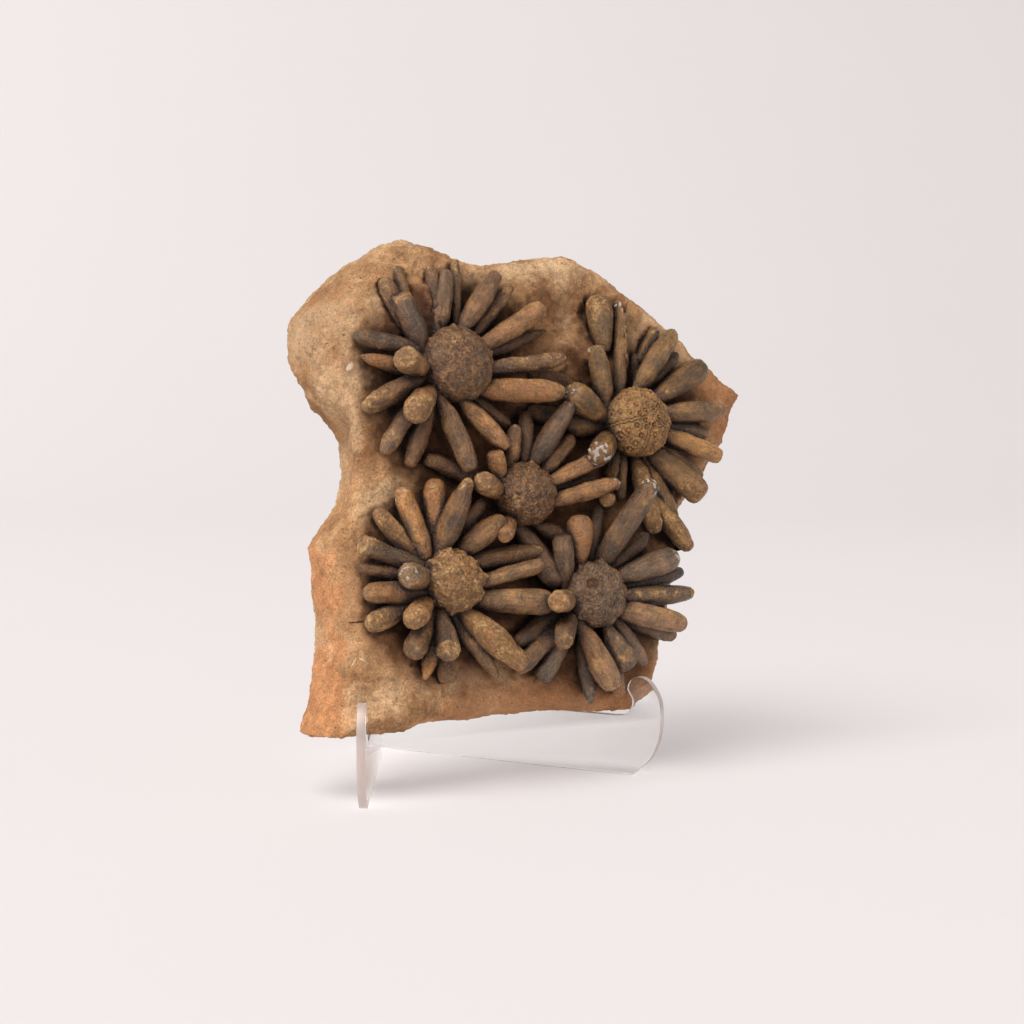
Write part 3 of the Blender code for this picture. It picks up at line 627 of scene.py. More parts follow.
def sandstone_material():
    """Weathered sandstone: fine sand cemented by iron, ochre with red and brown stains.

    Dull all over, with dark specks and pits between the grains, and grime and painted shade
    in its cracks."""
    material, tree, shader = new_material("Weathered ochre sandstone", {
        "Roughness": 0.9, "Specular IOR Level": 0.3})
    place = add(tree, "ShaderNodeTexCoord").outputs["Object"]
    orange, brown, pale = add(tree, "ShaderNodeSeparateColor", {0: add(
        tree, "ShaderNodeAttribute", attribute_name="stain_and_shade").outputs["Color"]}).outputs
    dirt_and_shade = add(tree, "ShaderNodeAttribute", attribute_name="dirt_and_shade").outputs["Fac"]
    cloud, mottle, erosion, sand = (
        add(tree, "ShaderNodeTexNoise", {"Vector": place, "Scale": 1 / (width * MM),
                                         "Detail": detail, "Roughness": rough}).outputs["Fac"]
        for width, detail, rough in ((30, 4.0, 0.6), (8, 8.0, 0.74), (3.4, 6.0, 0.72),
                                     (1, 3.0, 0.8)))
    ground = add(tree, "ShaderNodeValToRGB", {0: cloud}, stops=(
        (0.32, "#9B6F4A"), (0.50, "#C19468"), (0.67, "#DCB88F"))).outputs[0]
    # The stains; the brown is partly painted shade and the pale partly a painted highlight.
    stained_and_shaded = covered(
        tree, ground,
        (total(tree, (orange, 1.0), (mottle, 1.0)), 0.70, 1.20, 0.85, "#C78B5D"),
        (total(tree, (brown, 1.0), (mottle, 1.0)), 0.66, 1.24, 0.90, "#7E563A"),
        (total(tree, (pale, 1.0), (mottle, 1.0)), 0.62, 1.30, 0.75, "#E2BE93"))
    # Dark specks about 4 mm apart, some of them pits.
    cells = add(tree, "ShaderNodeTexVoronoi", {"Vector": place, "Scale": 1 / (4.2 * MM)}
                ).outputs["Distance"]
    specks = add(tree, "ShaderNodeMapRange", {
        0: total(tree, (mottle, 0.35), (cells, 1.0)), 1: 0.20, 2: 0.30, 3: 0.40, 4: 1.0}
        ).outputs[0]
    sanded = shaded(
        tree, stained_and_shaded, (mottle, 0.34, 0.66, 0.73, 1.37), (sand, 0.32, 0.68, 0.76, 1.24),
        (erosion, 0.34, 0.66, 0.86, 1.14), (specks, 0.0, 1.0, 0.0, 1.0))
    dust_and_shade = total(tree, (mottle, 0.5), (dirt_and_shade, 1.0))
    # Brown grime and painted shade where the stone is shut in, near-black deep in its cracks.
    full = covered(
        tree, sanded,
        (dust_and_shade, 0.36, 0.74, 0.75, "#6A4329"), (dust_and_shade, 0.52, 0.92, 0.95, "#1F130C"),
        (marks_mask(tree, place, CHALK_MARKS, sand), 0.0, 1.0, 0.80, "#E6D2BB"),
        (marks_mask(tree, place, DARK_MARKS, sand), 0.0, 1.0, 1.0, "#4A2C1C"))
    tree.links.new(full, shader.inputs["Base Color"])
    emboss(tree, shader, (mottle, 1.0, 1.0), (erosion, 1.0, 1.3), (sand, 0.9, 0.45),
           (specks, 0.8, 0.6))
    return material


def acrylic_material():
    """Cast acrylic sheet, clear and polished; faint roughness softens what it mirrors."""
    return new_material("Cast acrylic sheet", {
        "Base Color": colour("#FBFCFC"), "Roughness": 0.03, "IOR": 1.49,
        "Transmission Weight": 1.0})[0]


def sawn_edge_material():
    """The sheet's sawn edges: matt, so that they scatter light and look milky."""
    return new_material("Sawn acrylic edge", {
        "Base Color": colour("#D9CCC6"), "Roughness": 0.34, "IOR": 1.49,
        "Transmission Weight": 0.70})[0]


def paper_material():
    """Matt seamless background paper, warm white, with a faint tooth."""
    material, tree, shader = new_material("Warm white background paper", {
        "Roughness": 0.9, "Specular IOR Level": 0.1, "Emission Color": colour("#FFF8F7")})
    place = add(tree, "ShaderNodeTexCoord").outputs["Object"]
    tooth = add(tree, "ShaderNodeTexNoise", {"Vector": place, "Scale": 3.0, "Detail": 2.0}
                ).outputs["Fac"]
    shade = covered(tree, colour("#A9A6A6"), (tooth, 0.0, 1.0, 1.0, "#ABA8A8"))
    tree.links.new(shade, shader.inputs["Base Color"])
    lost = add(tree, "ShaderNodeVectorMath", {0: place, 1: (*GLOW_FALL, 0)},
               operation="DOT_PRODUCT").outputs["Value"]
    tree.links.new(total(tree, (PAPER_GLOW, 1.0), (lost, -1.0)),
                   shader.inputs["Emission Strength"])
    return material


# ---- the slab ---------------------------------------------------------------------------

def urchin_tree(frame):
    """All urchins' surfaces in one search tree."""
    corners, faces = [], []
    for name in TESTS:
        mesh = frame["nodes"][name].data
        first = len(corners)
        corners += [vert.co.copy() for vert in mesh.vertices]
        faces += [[first + i for i in face.vertices] for face in mesh.polygons]
    return BVHTree.FromPolygons(corners, faces)


def loose_axes():
    """Each loose spine of the stone as its foot, its tip and its radius, in world metres."""
    axes = []
    for across, up, out, clock, rise, length, girth, *_ in rows_of(LOOSE_SPINES):
        matrix = spine_matrix((across, up, out), clock, rise)
        axes.append((matrix @ Vector((0, 0, 0)), matrix @ Vector((0, 0, length)),
                     girth * MM / 2))
    return axes


def on_loose_spine(point, axes):
    for foot, tip, radius in axes:
        along = tip - foot
        share = (point - foot).dot(along) / along.length_squared
        if -0.03 < share < 1.03:
            if (point - foot.lerp(tip, share)).length < radius + POCKET_REACH:
                return True
    return False


def neighbours(grid):
    """The grid moved by one step in each of the four ways."""
    return [np.roll(grid, step, axis) for axis in (0, 1) for step in (1, -1)]


def stone_heights(slab, urchins):
    """The front face as a grid of heights, in mm, level under the urchins.

    Rays dropped on the face find its height; where they meet a pocket or a loose spine,
    the height is drawn in from the stone round it. Also says which spots were so filled."""
    axes = loose_axes()
    tree = BVHTree.FromObject(slab, bpy.context.evaluated_depsgraph_get())
    inward = -(FACE.to_3x3() @ Vector((0, 0, 1)))
    columns, rows = GRID_COUNT
    heights = np.full((rows, columns), np.nan)
    filled = np.zeros((rows, columns), dtype=bool)
    for row in range(rows):
        for column in range(columns):
            across, up = GRID_START[0] + column * GRID_STEP, GRID_START[1] + row * GRID_STEP
            start = FACE_MM @ Vector((across, up, RAY_START))
            hit = tree.ray_cast(start, inward)[0]
            if hit is None:
                continue
            heights[row, column] = RAY_START - (hit - start).length / MM
            near = urchins.find_nearest(hit, POCKET_REACH)[0] is not None
            filled[row, column] = near or on_loose_spine(hit, axes)
    filled |= heights < FRONT_DEPTH
    heights[filled] = np.nanmean(heights[~filled])
    for _ in range(FILL_ROUNDS):
        heights[filled] = np.nanmean(neighbours(heights), axis=0)[filled]
    return heights, filled


def grown(spots, rounds):
    """Spread a mask of grid spots by whole steps."""
    for _ in range(rounds):
        spots = spots | np.any(neighbours(spots), axis=0)
    return spots


def fill_pockets(slab, heights, filled):
    """Lay a block of stone in each pocket, its top level with the stone round it."""
    columns, rows = GRID_COUNT
    inside = grown(filled, 2) & ~grown(np.isnan(heights), 1)
    spots = {}
    blocks = bmesh.new()
    for row in range(rows - 1):
        for column in range(columns - 1):
            ring = ((row, column), (row, column + 1), (row + 1, column + 1), (row + 1, column))
            if not all(inside[spot] for spot in ring):
                continue
            for spot in ring:
                if spot not in spots:
                    place = (GRID_START[0] + spot[1] * GRID_STEP,
                             GRID_START[1] + spot[0] * GRID_STEP, heights[spot])
                    spots[spot] = blocks.verts.new(FACE_MM @ Vector(place))
            blocks.faces.new([spots[spot] for spot in ring])
    made = bmesh.ops.extrude_face_region(blocks, geom=blocks.faces[:], use_keep_orig=True)
    inward = FACE.to_3x3() @ Vector((0, 0, -BLOCK_DEPTH * MM))
    lower = [part for part in made["geom"] if isinstance(part, bmesh.types.BMVert)]
    bmesh.ops.translate(blocks, verts=lower, vec=inward)
    bmesh.ops.recalc_face_normals(blocks, faces=blocks.faces)
    mesh = bpy.data.meshes.new("blocks")
    blocks.to_mesh(mesh)
    blocks.free()
    block = bpy.data.objects.new("blocks", mesh)
    bpy.context.scene.collection.objects.link(block)
    return join([slab, block], "sandstone_slab")


def on_face(slab):
    """The slab's points across and up its face and out of it, in mm."""
    return moved(read(slab.data), FACE_MM.inverted())


def level_loose_spines(slab, heights):
    """Sink what stands above the front face, where the solid has its loose spines."""
    face = on_face(slab)
    columns, rows = GRID_COUNT
    column = (face[:, 0] - GRID_START[0]) / GRID_STEP
    row = (face[:, 1] - GRID_START[1]) / GRID_STEP
    left = np.clip(column.astype(int), 0, columns - 2)
    low = np.clip(row.astype(int), 0, rows - 2)
    right_share, up_share = column - left, row - low
    top = ((heights[low, left] * (1 - right_share) + heights[low, left + 1] * right_share)
           * (1 - up_share)
           + (heights[low + 1, left] * (1 - right_share)
              + heights[low + 1, left + 1] * right_share) * up_share)
    above = ~np.isnan(top) & (face[:, 2] > top)
    face[above, 2] = top[above]
    write_points(slab.data, moved(face, FACE_MM))


def displace(slab, size, strength, hard):
    """Raise and sink the stone by lumps of a given width; both sizes are in mm."""
    texture = bpy.data.textures.new("Lumps", "CLOUDS")
    texture.noise_scale = size * MM
    texture.noise_depth = 3
    texture.noise_type = "HARD_NOISE" if hard else "SOFT_NOISE"
    apply_modifier(slab, "DISPLACE", texture=texture, texture_coords="LOCAL",
                   strength=strength * MM, mid_level=0.5)
    bpy.data.textures.remove(texture)


def climb_spines(slab, urchins):
    """Raise the stone where it meets a spine or a test."""
    points = read(slab.data)
    reach = FILLET_REACH * MM
    near = np.zeros(len(points))
    for number, point in enumerate(points):
        away = urchins.find_nearest(Vector(point), reach)[3]
        if away is not None:
            near[number] = 1 - away / reach
    crumbs = noise_at(points, 3 * MM, (4.0, 1.0, 7.0))
    outward = np.array(FACE.to_3x3() @ Vector((0, 0, 1)))
    rise = FILLET_RISE * MM * near ** 2 * (1 + crumbs)
    write_points(slab.data, points + outward * rise[:, None])


def from_line(face, start, end):
    """How far each point of the face is from a line between two places on it, in mm."""
    start, way = np.array(start, float), np.array(end, float) - np.array(start, float)
    share = np.clip(((face[:, :2] - start) @ way) / (way @ way), 0, 1)
    return np.linalg.norm(face[:, :2] - start - share[:, None] * way, axis=1)


def past_ridge(face):
    """How far, in mm, a point lies left of the ridge down the slab's lower left side."""
    across, up = face[:, 0], face[:, 1]
    left = RIDGE_TOP[0] - (RIDGE_TOP[1] - up) * RIDGE_LEAN - across
    return np.minimum(left, (RIDGE_TOP[1] + 14 - up) / 2)


def spot(face, middle, reach):
    """How much of an oval spot each point of the face gets: 1 in its middle, less outward."""
    return np.exp(-(((face[:, :2] - middle) / reach) ** 2).sum(axis=1))


def carve_face(slab):
    """Sink the crumpled hollow below the top edge and raise the ridges between spines."""
    face = on_face(slab)
    front = smooth_step(face[:, 2], FRONT_DEPTH - 6, FRONT_DEPTH + 4)
    inside = spot(face, *HOLLOW) * front
    crumple = 1 - 2 * np.abs(noise_at(face, 11.0, (3.0, 8.0, 1.0)))
    crumple += 0.5 * (1 - 2 * np.abs(noise_at(face, 5.0, (1.0, 2.0, 6.0))))
    face[:, 2] += inside * (HOLLOW_CRUMPLE * crumple - HOLLOW_DEPTH)
    face[:, 2] -= RIDGE_DROP * smooth_step(past_ridge(face), -1.5, 9) * front
    for start, end, half, rise in RIDGES:
        share = np.exp(-(from_line(face, start, end) / half) ** 2) * front
        face[:, 2] += rise * share * (1 + 0.4 * crumple)
    write_points(slab.data, moved(face, FACE_MM))


def keep_in_place(slab, low, high):
    """Keep the stone inside its solid's box, off the easel and above its seats."""
    points = read(slab.data)
    start, end = points.min(0), points.max(0)
    share = np.minimum(1.0, (np.array(high) - np.array(low)) / (end - start))
    points = (points - (start + end) / 2) * share + (start + end) / 2
    points += np.maximum(0, np.array(low) - points.min(0))
    points -= np.maximum(0, points.max(0) - np.array(high))
    face = moved(points, FACE_MM.inverted())
    face[:, 2] = np.maximum(face[:, 2], -THICKNESS)
    points = moved(face, FACE_MM)
    points[:, 2] = np.maximum(points[:, 2], (SEAT_HEIGHT + GAP) * MM)
    write_points(slab.data, points)


def stain_and_shade_slab(slab):
    """Where the stone is orange, brown or pale, as a colour attribute. The brown is partly
    painted shade: near the tests, in the hollow below the top edge and along the bottom strip.
    """
    leftward = -read(slab.data, "normal")[:, 0]
    face = on_face(slab)
    across, up, out = face.T
    wander = noise_at(face, 26.0, (2.0, 9.0, 4.0))
    lumps = noise_at(face, 9.0, (6.0, 1.0, 5.0))
    flank = smooth_step(past_ridge(face) + 7 * lumps + 8 * wander, -4, 4)
    tip = smooth_step(across + 10 * wander, 128, 150)
    orange = 0.95 * flank + 0.9 * tip + 0.5 * spot(face, *CROWN)
    # Orange and brown along the bottom strip: the orange is the stone's own, the brown painted
    # shade.
    low = smooth_step(across + 14 * wander, -42, -16) * smooth_step(-up + 8 * wander, -26, -4)
    orange += 0.62 * low
    upper_left = smooth_step(leftward, 0.2, 0.6) * smooth_step(up, 96, 120)
    nearest = np.min([np.hypot(*(face[:, :2] - form["middle"]).T) for form in TESTS.values()],
                     axis=0)
    front = smooth_step(out, -24, -8)
    # Browner and less pale near the tests: painted shade.
    shade_near_tests = smooth_step(-nearest + 6 * wander + 4 * lumps, -54, -30) * front
    # Browner in the hollow below the top edge: painted shade.
    hollow = spot(face, *HOLLOW) * front
    brown = 0.30 * low + 0.34 * upper_left + 0.55 * hollow + 0.85 * shade_near_tests + 0.30 * tip
    streaks = noise_at(face * np.array((1.0, 0.45, 1.0)), 12.0, (8.0, 3.0, 1.0))
    # The pale spot along the lip is a painted highlight.
    pale = 0.75 * spot(face, *LIP_HIGHLIGHT) + 0.45 * spot(face, *FOOT) + 0.95 * spot(face, *NOTCH)
    pale += 0.12 * upper_left
    pale += 0.30 * wander + 0.55 * streaks - 0.4 * shade_near_tests
    zones = (np.clip(zone, 0, 1) for zone in (orange, brown, pale))
    store(slab.data, "stain_and_shade", *zones, 1.0)


def model_slab(frame):
    node = frame["nodes"]["matrix_slab"]
    slab = node.copy()
    slab.data = node.data.copy()
    bpy.context.scene.collection.objects.link(slab)
    slab.parent = None
    for key in list(slab.keys()):
        del slab[key]
    slab.hide_render = False
    low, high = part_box("matrix_slab")
    urchins = urchin_tree(frame)
    merge_corners(slab)
    heights, filled = stone_heights(slab, urchins)
    slab = fill_pockets(slab, heights, filled)
    apply_modifier(slab, "REMESH", mode="VOXEL", voxel_size=VOXEL)
    level_loose_spines(slab, heights)
    apply_modifier(slab, "SMOOTH", factor=0.5, iterations=7)
    climb_spines(slab, urchins)
    carve_face(slab)
    for lumps in LUMPS:
        displace(slab, *lumps)
    keep_in_place(slab, low, high)
    faces = 2 * len(slab.data.polygons)
    if faces > SLAB_TRIANGLES:
        apply_modifier(slab, "DECIMATE", ratio=SLAB_TRIANGLES / faces)
    stain_and_shade_slab(slab)
    return join([slab], "sandstone_slab")


# ---- grime and painted shade --------------------------------------------------------------

def surface_tree(pieces):
    """One search tree of several pieces' surfaces."""
    select_only(*pieces)
    bpy.ops.object.duplicate()
    together = join(bpy.context.selected_objects, "together")
    tree = BVHTree.FromObject(together, bpy.context.evaluated_depsgraph_get())
    bpy.data.objects.remove(together, do_unlink=True)
    return tree


def ray_ways():
    """Directions spread evenly all round, by the golden angle."""
    ways = []
    for number in range(OCCLUSION_RAYS):
        height = 1 - 2 * (number + 0.5) / OCCLUSION_RAYS
        turn = number * math.pi * (3 - math.sqrt(5))
        flat = math.sqrt(1 - height * height)
        ways.append(Vector((flat * math.cos(turn), flat * math.sin(turn), height)))
    return ways


def gather_dirt_and_shade(piece, tree, stride):
    """Store how shut in each point is: 0 in the open and towards 1 deep in a crack. The
    materials darken shut-in points by it, as grime and painted shade.

    Only every so many points are tested, and the others take the value of the nearest."""
    ways = ray_ways()
    points, normals = read(piece.data), read(piece.data, "normal")
    facing = normals @ np.array(ways).T
    dirt_and_shade = np.zeros(len(points))
    tested = range(0, len(points), stride)
    for number in tested:
        start = Vector(points[number] + normals[number] * OCCLUSION_START)
        shut = total = 0.0
        for way, share in zip(ways, facing[number]):
            if share > 0.1:
                total += share
                distance = tree.ray_cast(start, way, OCCLUSION_REACH)[3]
                if distance is not None:
                    shut += share * (1 - 0.5 * distance / OCCLUSION_REACH)
        dirt_and_shade[number] = shut / total
    if stride > 1:
        near = KDTree(len(tested))
        for number in tested:
            near.insert(points[number], number)
        near.balance()
        for number in range(len(points)):
            found = near.find_n(points[number], 3)
            dirt_and_shade[number] = sum(dirt_and_shade[other] for _, other, _ in found) / len(found)
    store(piece.data, "dirt_and_shade", dirt_and_shade)


# ---- tests ------------------------------------------------------------------------------

def toward(clock, down):
    """The direction at a clock angle and an angle from the top, in degrees."""
    clock, down = math.radians(clock), math.radians(down)
    return np.array((math.cos(clock) * math.sin(down), math.sin(clock) * math.sin(down),
                     math.cos(down)))


def hill(distance, size):
    return np.exp(-(distance / size) ** 2)


def plate_relief(way, half, first):
    """Five wavy double furrows down the test, two rows of ringed knobs between each pair.

    Gives the height in mm and how light each point is; the lightness is painted highlight on
    the knobs and rings and painted shade in the dishes and furrows."""
    body = way * half
    turn = np.degrees(np.arctan2(way[:, 1], way[:, 0]))
    flat = np.hypot(body[:, 0], body[:, 1])
    height, light = np.zeros(len(way)), np.zeros(len(way))
    for sector in range(5):
        furrow = first + 72 * sector
        swing = (turn - furrow + 180) % 360 - 180
        aside = np.radians(swing) * flat
        aside = aside + 0.3 * np.sin(2 * math.pi * body[:, 2] / FURROW_WAVE)
        lines = hill(np.abs(aside) - FURROW_HALF, FURROW_WIDTH) * (np.abs(swing) < 45)
        lines *= smooth_step(flat, 2.0, 4.5)
        height -= 0.60 * lines
        # Painted shade in the furrows.
        light -= 0.40 * lines
        for side in (-1, 1):
            for step, down in enumerate(KNOB_ROW):
                middle = toward(furrow + 36 + side * KNOB_SWING, down + 3.5 * side) * half
                away = np.linalg.norm(body - middle, axis=1)
                size = 0.70 + 0.13 * step
                knob, ring = hill(away, KNOB_SIZE * size), hill(away - KNOB_RING * size,
                                                                RING_WIDTH * size)
                dish = hill(away, KNOB_DISH * size) - knob
                height += 1.15 * knob + 0.60 * ring - 0.70 * dish
                # Painted highlight on the knobs and rings, painted shade in the dishes.
                light += 0.45 * knob + 0.16 * ring - 0.45 * dish
    return height, light


def model_test(urchin):
    """A flattened ball with scalloped flanks, furrows, ringed knobs and fine granules."""
    form = TESTS[urchin]
    bpy.ops.mesh.primitive_ico_sphere_add(subdivisions=TEST_SUBDIVISIONS, radius=1)
    test = bpy.context.object
    way = read(test.data)
    turn = np.arctan2(way[:, 1], way[:, 0])
    flat = np.hypot(way[:, 0], way[:, 1])
    half = np.array((form["width"], form["width"], form["height"])) / 2 * form["swell"]
    body = way * half
    across, up = form["middle"]
    seed = np.array((len(urchin) * 1.7, across * 0.13, up * 0.11))
    lumps = noise_at(body, 5.0, seed)
    beads = np.array([noise.voronoi(Vector(spot))[0][0] for spot in body / 1.25 + seed])
    beads = np.clip(1 - beads / 0.55, 0, 1)
    crumbs = noise_at(body, 0.8, seed)
    spots = noise_at(body, 2.0, seed + 5)
    plates, pale = plate_relief(way, half, form["turn"])
    lift = (form["lumps"] * lumps + form["granules"] * (beads + 0.6 * crumbs)
            + 0.5 * form["lumps"] * spots + form["rings"] * plates
            + form["scallops"] * np.cos(10 * turn) * flat ** 3)
    light = form["light"] + 0.40 * (beads - 0.35) + 0.30 * spots + form["rings"] * pale
    ochre = form["ochre"] + 0.35 * spots + 0.2 * lumps
    # The pointed knobs, with a painted highlight on each.
    for clock, down, size in form["knobs"]:
        knob = hill(np.linalg.norm(body - toward(clock, down) * half, axis=1), size)
        lift += 1.1 * size * knob
        light += 0.35 * knob
    for clock, down, reach in form["patches"]:
        angle = np.degrees(np.arccos(np.clip(way @ toward(clock, down), -1, 1)))
        ochre += 0.55 * hill(angle + 10 * lumps, reach)
    if "pit" in form:
        clock, down, radius, depth = form["pit"]
        away = np.linalg.norm(body - toward(clock, down) * half, axis=1) + 0.8 * lumps
        sunk = smooth_step(-away, -radius, -0.7 * radius)
        lift -= depth * sunk
        lift += 0.5 * hill(away - radius - 0.6, 0.9)
        # The pit's deepest middle is darker: painted shade.
        light -= 0.22 * sunk * smooth_step(-away, -0.9 * radius, -0.3 * radius)
        ochre -= 0.3 * sunk
    body += way * lift[:, None]
    store(test.data, "coat", np.clip(light, 0, 1), form["warmth"], 0.0, 1.0)
    store(test.data, "crust", np.clip(ochre, 0, 1), 0.0, 0.0, 1.0)
    store(test.data, "grain", *(body + seed * 50).T)
    body += np.array((across, up, form["height"] / 2 - TEST_SINK))
    write_points(test.data, moved(body, FACE_MM))
    return join([test], urchin + "_test")


# ---- spines -----------------------------------------------------------------------------

def model_spine(kind):
    """One spine of unit size: a disc extruded from the neck to the tip, then rounded."""
    outline = SPINE_KINDS[kind]
    # Subdivision draws a cage of few sides inwards by this share.
    swell = 6 / (4 + 2 * math.cos(2 * math.pi / SPINE_CAGE_SIDES))
    bpy.ops.mesh.primitive_circle_add(vertices=SPINE_CAGE_SIDES, fill_type="NGON",
                                      radius=outline[0][1] * swell, location=(0, 0, -1))
    spine = bpy.context.object
    bpy.ops.object.mode_set(mode="EDIT")
    for (start, wide), (end, narrow) in zip(outline, outline[1:]):
        bpy.ops.mesh.extrude_region_move(TRANSFORM_OT_translate={"value": (0, 0, end - start)})
        share = narrow / wide
        bpy.ops.transform.resize(value=(share, share, 1), center_override=(0, 0, end))
    bpy.ops.mesh.select_all(action="SELECT")
    bpy.ops.mesh.normals_make_consistent(inside=False)
    bpy.ops.object.mode_set(mode="OBJECT")
    bpy.ops.object.transform_apply(location=True, rotation=True, scale=True)
    apply_modifier(spine, "SUBSURF", levels=SPINE_SUBDIVISIONS,
                   render_levels=SPINE_SUBDIVISIONS)
    spine.name = "spine_" + kind
    settle(spine)
    return spine


def settle(spine):
    """Number a spine's points by height, turn and radius, so that every run has them alike."""
    points = read(spine.data)
    radius = np.hypot(points[:, 0], points[:, 1])
    turn = np.round(np.arctan2(points[:, 1], points[:, 0]) / math.tau * TURN_STEPS)
    turn = np.where(radius < HEIGHT_STEP, 0, turn % TURN_STEPS)
    height = np.floor(points[:, 2] / HEIGHT_STEP + HEIGHT_SHIFT)
    order = np.lexsort((radius, turn, height))
    numbers = np.argsort(order).tolist()
    rings = []
    for face in spine.data.polygons:
        ring = [numbers[point] for point in face.vertices]
        first = ring.index(min(ring))
        rings.append(ring[first:] + ring[:first])
    spine.data = bpy.data.meshes.new(spine.name)
    spine.data.from_pydata(points[order], [], sorted(rings))


def spine_matrix(foot, clock, rise):
    """Where a spine's own millimetres lie: its foot on the face and its +Z along it."""
    turn = Euler((0, math.pi / 2 - math.radians(rise), math.radians(clock)))
    return FACE_MM @ Matrix.Translation(foot) @ turn.to_matrix().to_4x4()


def neck_length(reach, swing, width):
    """How far a spine's neck runs back along its line until it is well inside the test."""
    inner = width / 2 - NECK_GRIP
    aside = abs(reach * math.sin(swing))
    back = reach * math.cos(swing)
    if aside < inner:
        back -= math.sqrt(inner * inner - aside * aside)
    return max(0.0, back)


def shape_spine(master, seed, foot, neck, row):
    """Copy a spine, size it, wear it, colour it and put it in its place."""
    clock, rise, length, girth, _, coat, tip = row
    mesh = master.data.copy()
    unit = read(mesh)
    place = unit[:, 2]
    along = np.clip(place, 0, 1)
    body = unit * np.array((girth / 2, girth / 2, 1))
    body[:, 2] = np.where(place > 0, place * length, place * max(neck, 0.5))
    shift = np.array((seed * 7.3, seed * 3.1, seed * 5.7))
    round_way = unit * np.array((1, 1, 0))
    round_way /= np.maximum(np.linalg.norm(round_way, axis=1), 1e-6)[:, None]
    # Unevenness, long folds, a slight bend, and crumbs of crust and crystals.
    lumps = noise_at(body, 7.0, shift)
    pits = noise_at(body, 2.2, shift)
    folds = noise_at(body * np.array((1, 1, 0.14)), 2.6, shift + 3)
    lightness, warmth, ochre, rust = COATS[coat]
    start, tip_ochre, tip_white, tip_light = TIPS[tip]
    at_tip = smooth_step(along + 0.10 * lumps + 0.06 * pits, start - 0.06, start + 0.20)
    crumbs = noise_at(body, 1.3, shift + 11)
    crust = smooth_step(ochre + tip_ochre * at_tip + 0.50 * lumps + 0.5 * pits, 0.15, 1.0)
    frost = noise_at(body, 1.9, shift + 17)
    white = tip_white * smooth_step(along + 0.1 * frost, start, 0.99)
    white *= smooth_step(frost, -0.06, 0.24)
    lift = 0.42 * lumps + 0.14 * pits + 0.30 * folds + crust * (0.20 + 0.30 * crumbs)
    lift += white * (0.3 + 0.8 * crumbs)
    lift *= smooth_step(along, -0.1, 0.15)
    body += round_way * lift[:, None]
    lean = noise.noise(Vector(shift)) * 0.06
    body[:, 0] += lean * length * along ** 2
    if tip == "broken":
        rim = length * 0.93 + 0.25 * body[:, 0] + 0.5 * pits
        body[:, 2] = np.minimum(body[:, 2], rim)
    grain = body * np.array((1, 1, 0.10)) + shift * 9
    pale = lightness + tip_light * at_tip + 0.22 * lumps + 0.12 * folds
    # Darker towards the foot beside the test: painted shade.
    pale -= 0.20 * smooth_step(-place, -0.25, 0.05)
    store(mesh, "coat", np.clip(pale, 0, 1), warmth + 0.25 * lumps, 0.0, 1.0)
    rusty = rust + 0.30 * rust * lumps + 0.15 * np.maximum(pits, 0)
    store(mesh, "crust", 0.85 * crust, white, rusty, 1.0)
    store(mesh, "grain", *grain.T)
    write_points(mesh, moved(body, spine_matrix(foot, clock, rise)))
    spine = bpy.data.objects.new("spine", mesh)
    bpy.context.scene.collection.objects.link(spine)
    return spine


def model_spines(urchin, masters):
    """All spines of one urchin, joined."""
    across, up = TESTS[urchin]["middle"]
    spines = []
    for number, (around, reach, height, *row) in enumerate(rows_of(SPINES[urchin])):
        swing = math.radians(around)
        foot = (across + reach * math.cos(swing), up + reach * math.sin(swing), height)
        neck = neck_length(reach, math.radians(row[0] - around), TESTS[urchin]["width"])
        seed = number + 1 + 31 * list(TESTS).index(urchin)
        spines.append(shape_spine(masters[row[4]], seed, foot, neck, row))
    return join(spines, urchin + "_spines")


def model_loose_spines(masters):
    spines = []
    for number, (across, up, out, *row) in enumerate(rows_of(LOOSE_SPINES + SPINE_BITS)):
        spines.append(shape_spine(masters[row[4]], LOOSE_SEED + number, (across, up, out), 0,
                                  row))
    return join(spines, "loose_spines")


# ---- the easel --------------------------------------------------------------------------

def upright_reach(height):
    """How far from the crossing a plate's front edge stands, just clear of the slab's back."""
    back = THICKNESS / math.cos(RECLINE) - FACE_AHEAD
    back += (height - FACE_RISE) * math.tan(RECLINE)
    corner = SHEET / 2 * math.tan(HALF_V)
    return (-back - GAP) / math.cos(HALF_V) - corner


def plate_outline():
    """Points (along the plate, up, whether it is a corner), once round anticlockwise."""
    foot = upright_reach(SEAT_HEIGHT)
    bevel = UPRIGHT_HEIGHT - UPRIGHT_ROUND
    top = upright_reach(bevel)
    hook = [(FOOT_LENGTH + along, up, False) for along, up in HOOK]
    return (
        (-TAIL, 0, True), (FOOT_LENGTH, 0, True), *hook,
        (FOOT_LENGTH - HOOK_THROAT, SEAT_HEIGHT, True), (foot, SEAT_HEIGHT, True),
        (top, bevel, True), (top - UPRIGHT_ROUND, UPRIGHT_HEIGHT, False),
        (top - UPRIGHT_WIDTH, bevel, True), (SPINE_REACH, SPINE_HEIGHT, True),
        (-TAIL, TAIL_HEIGHT, True),
    )


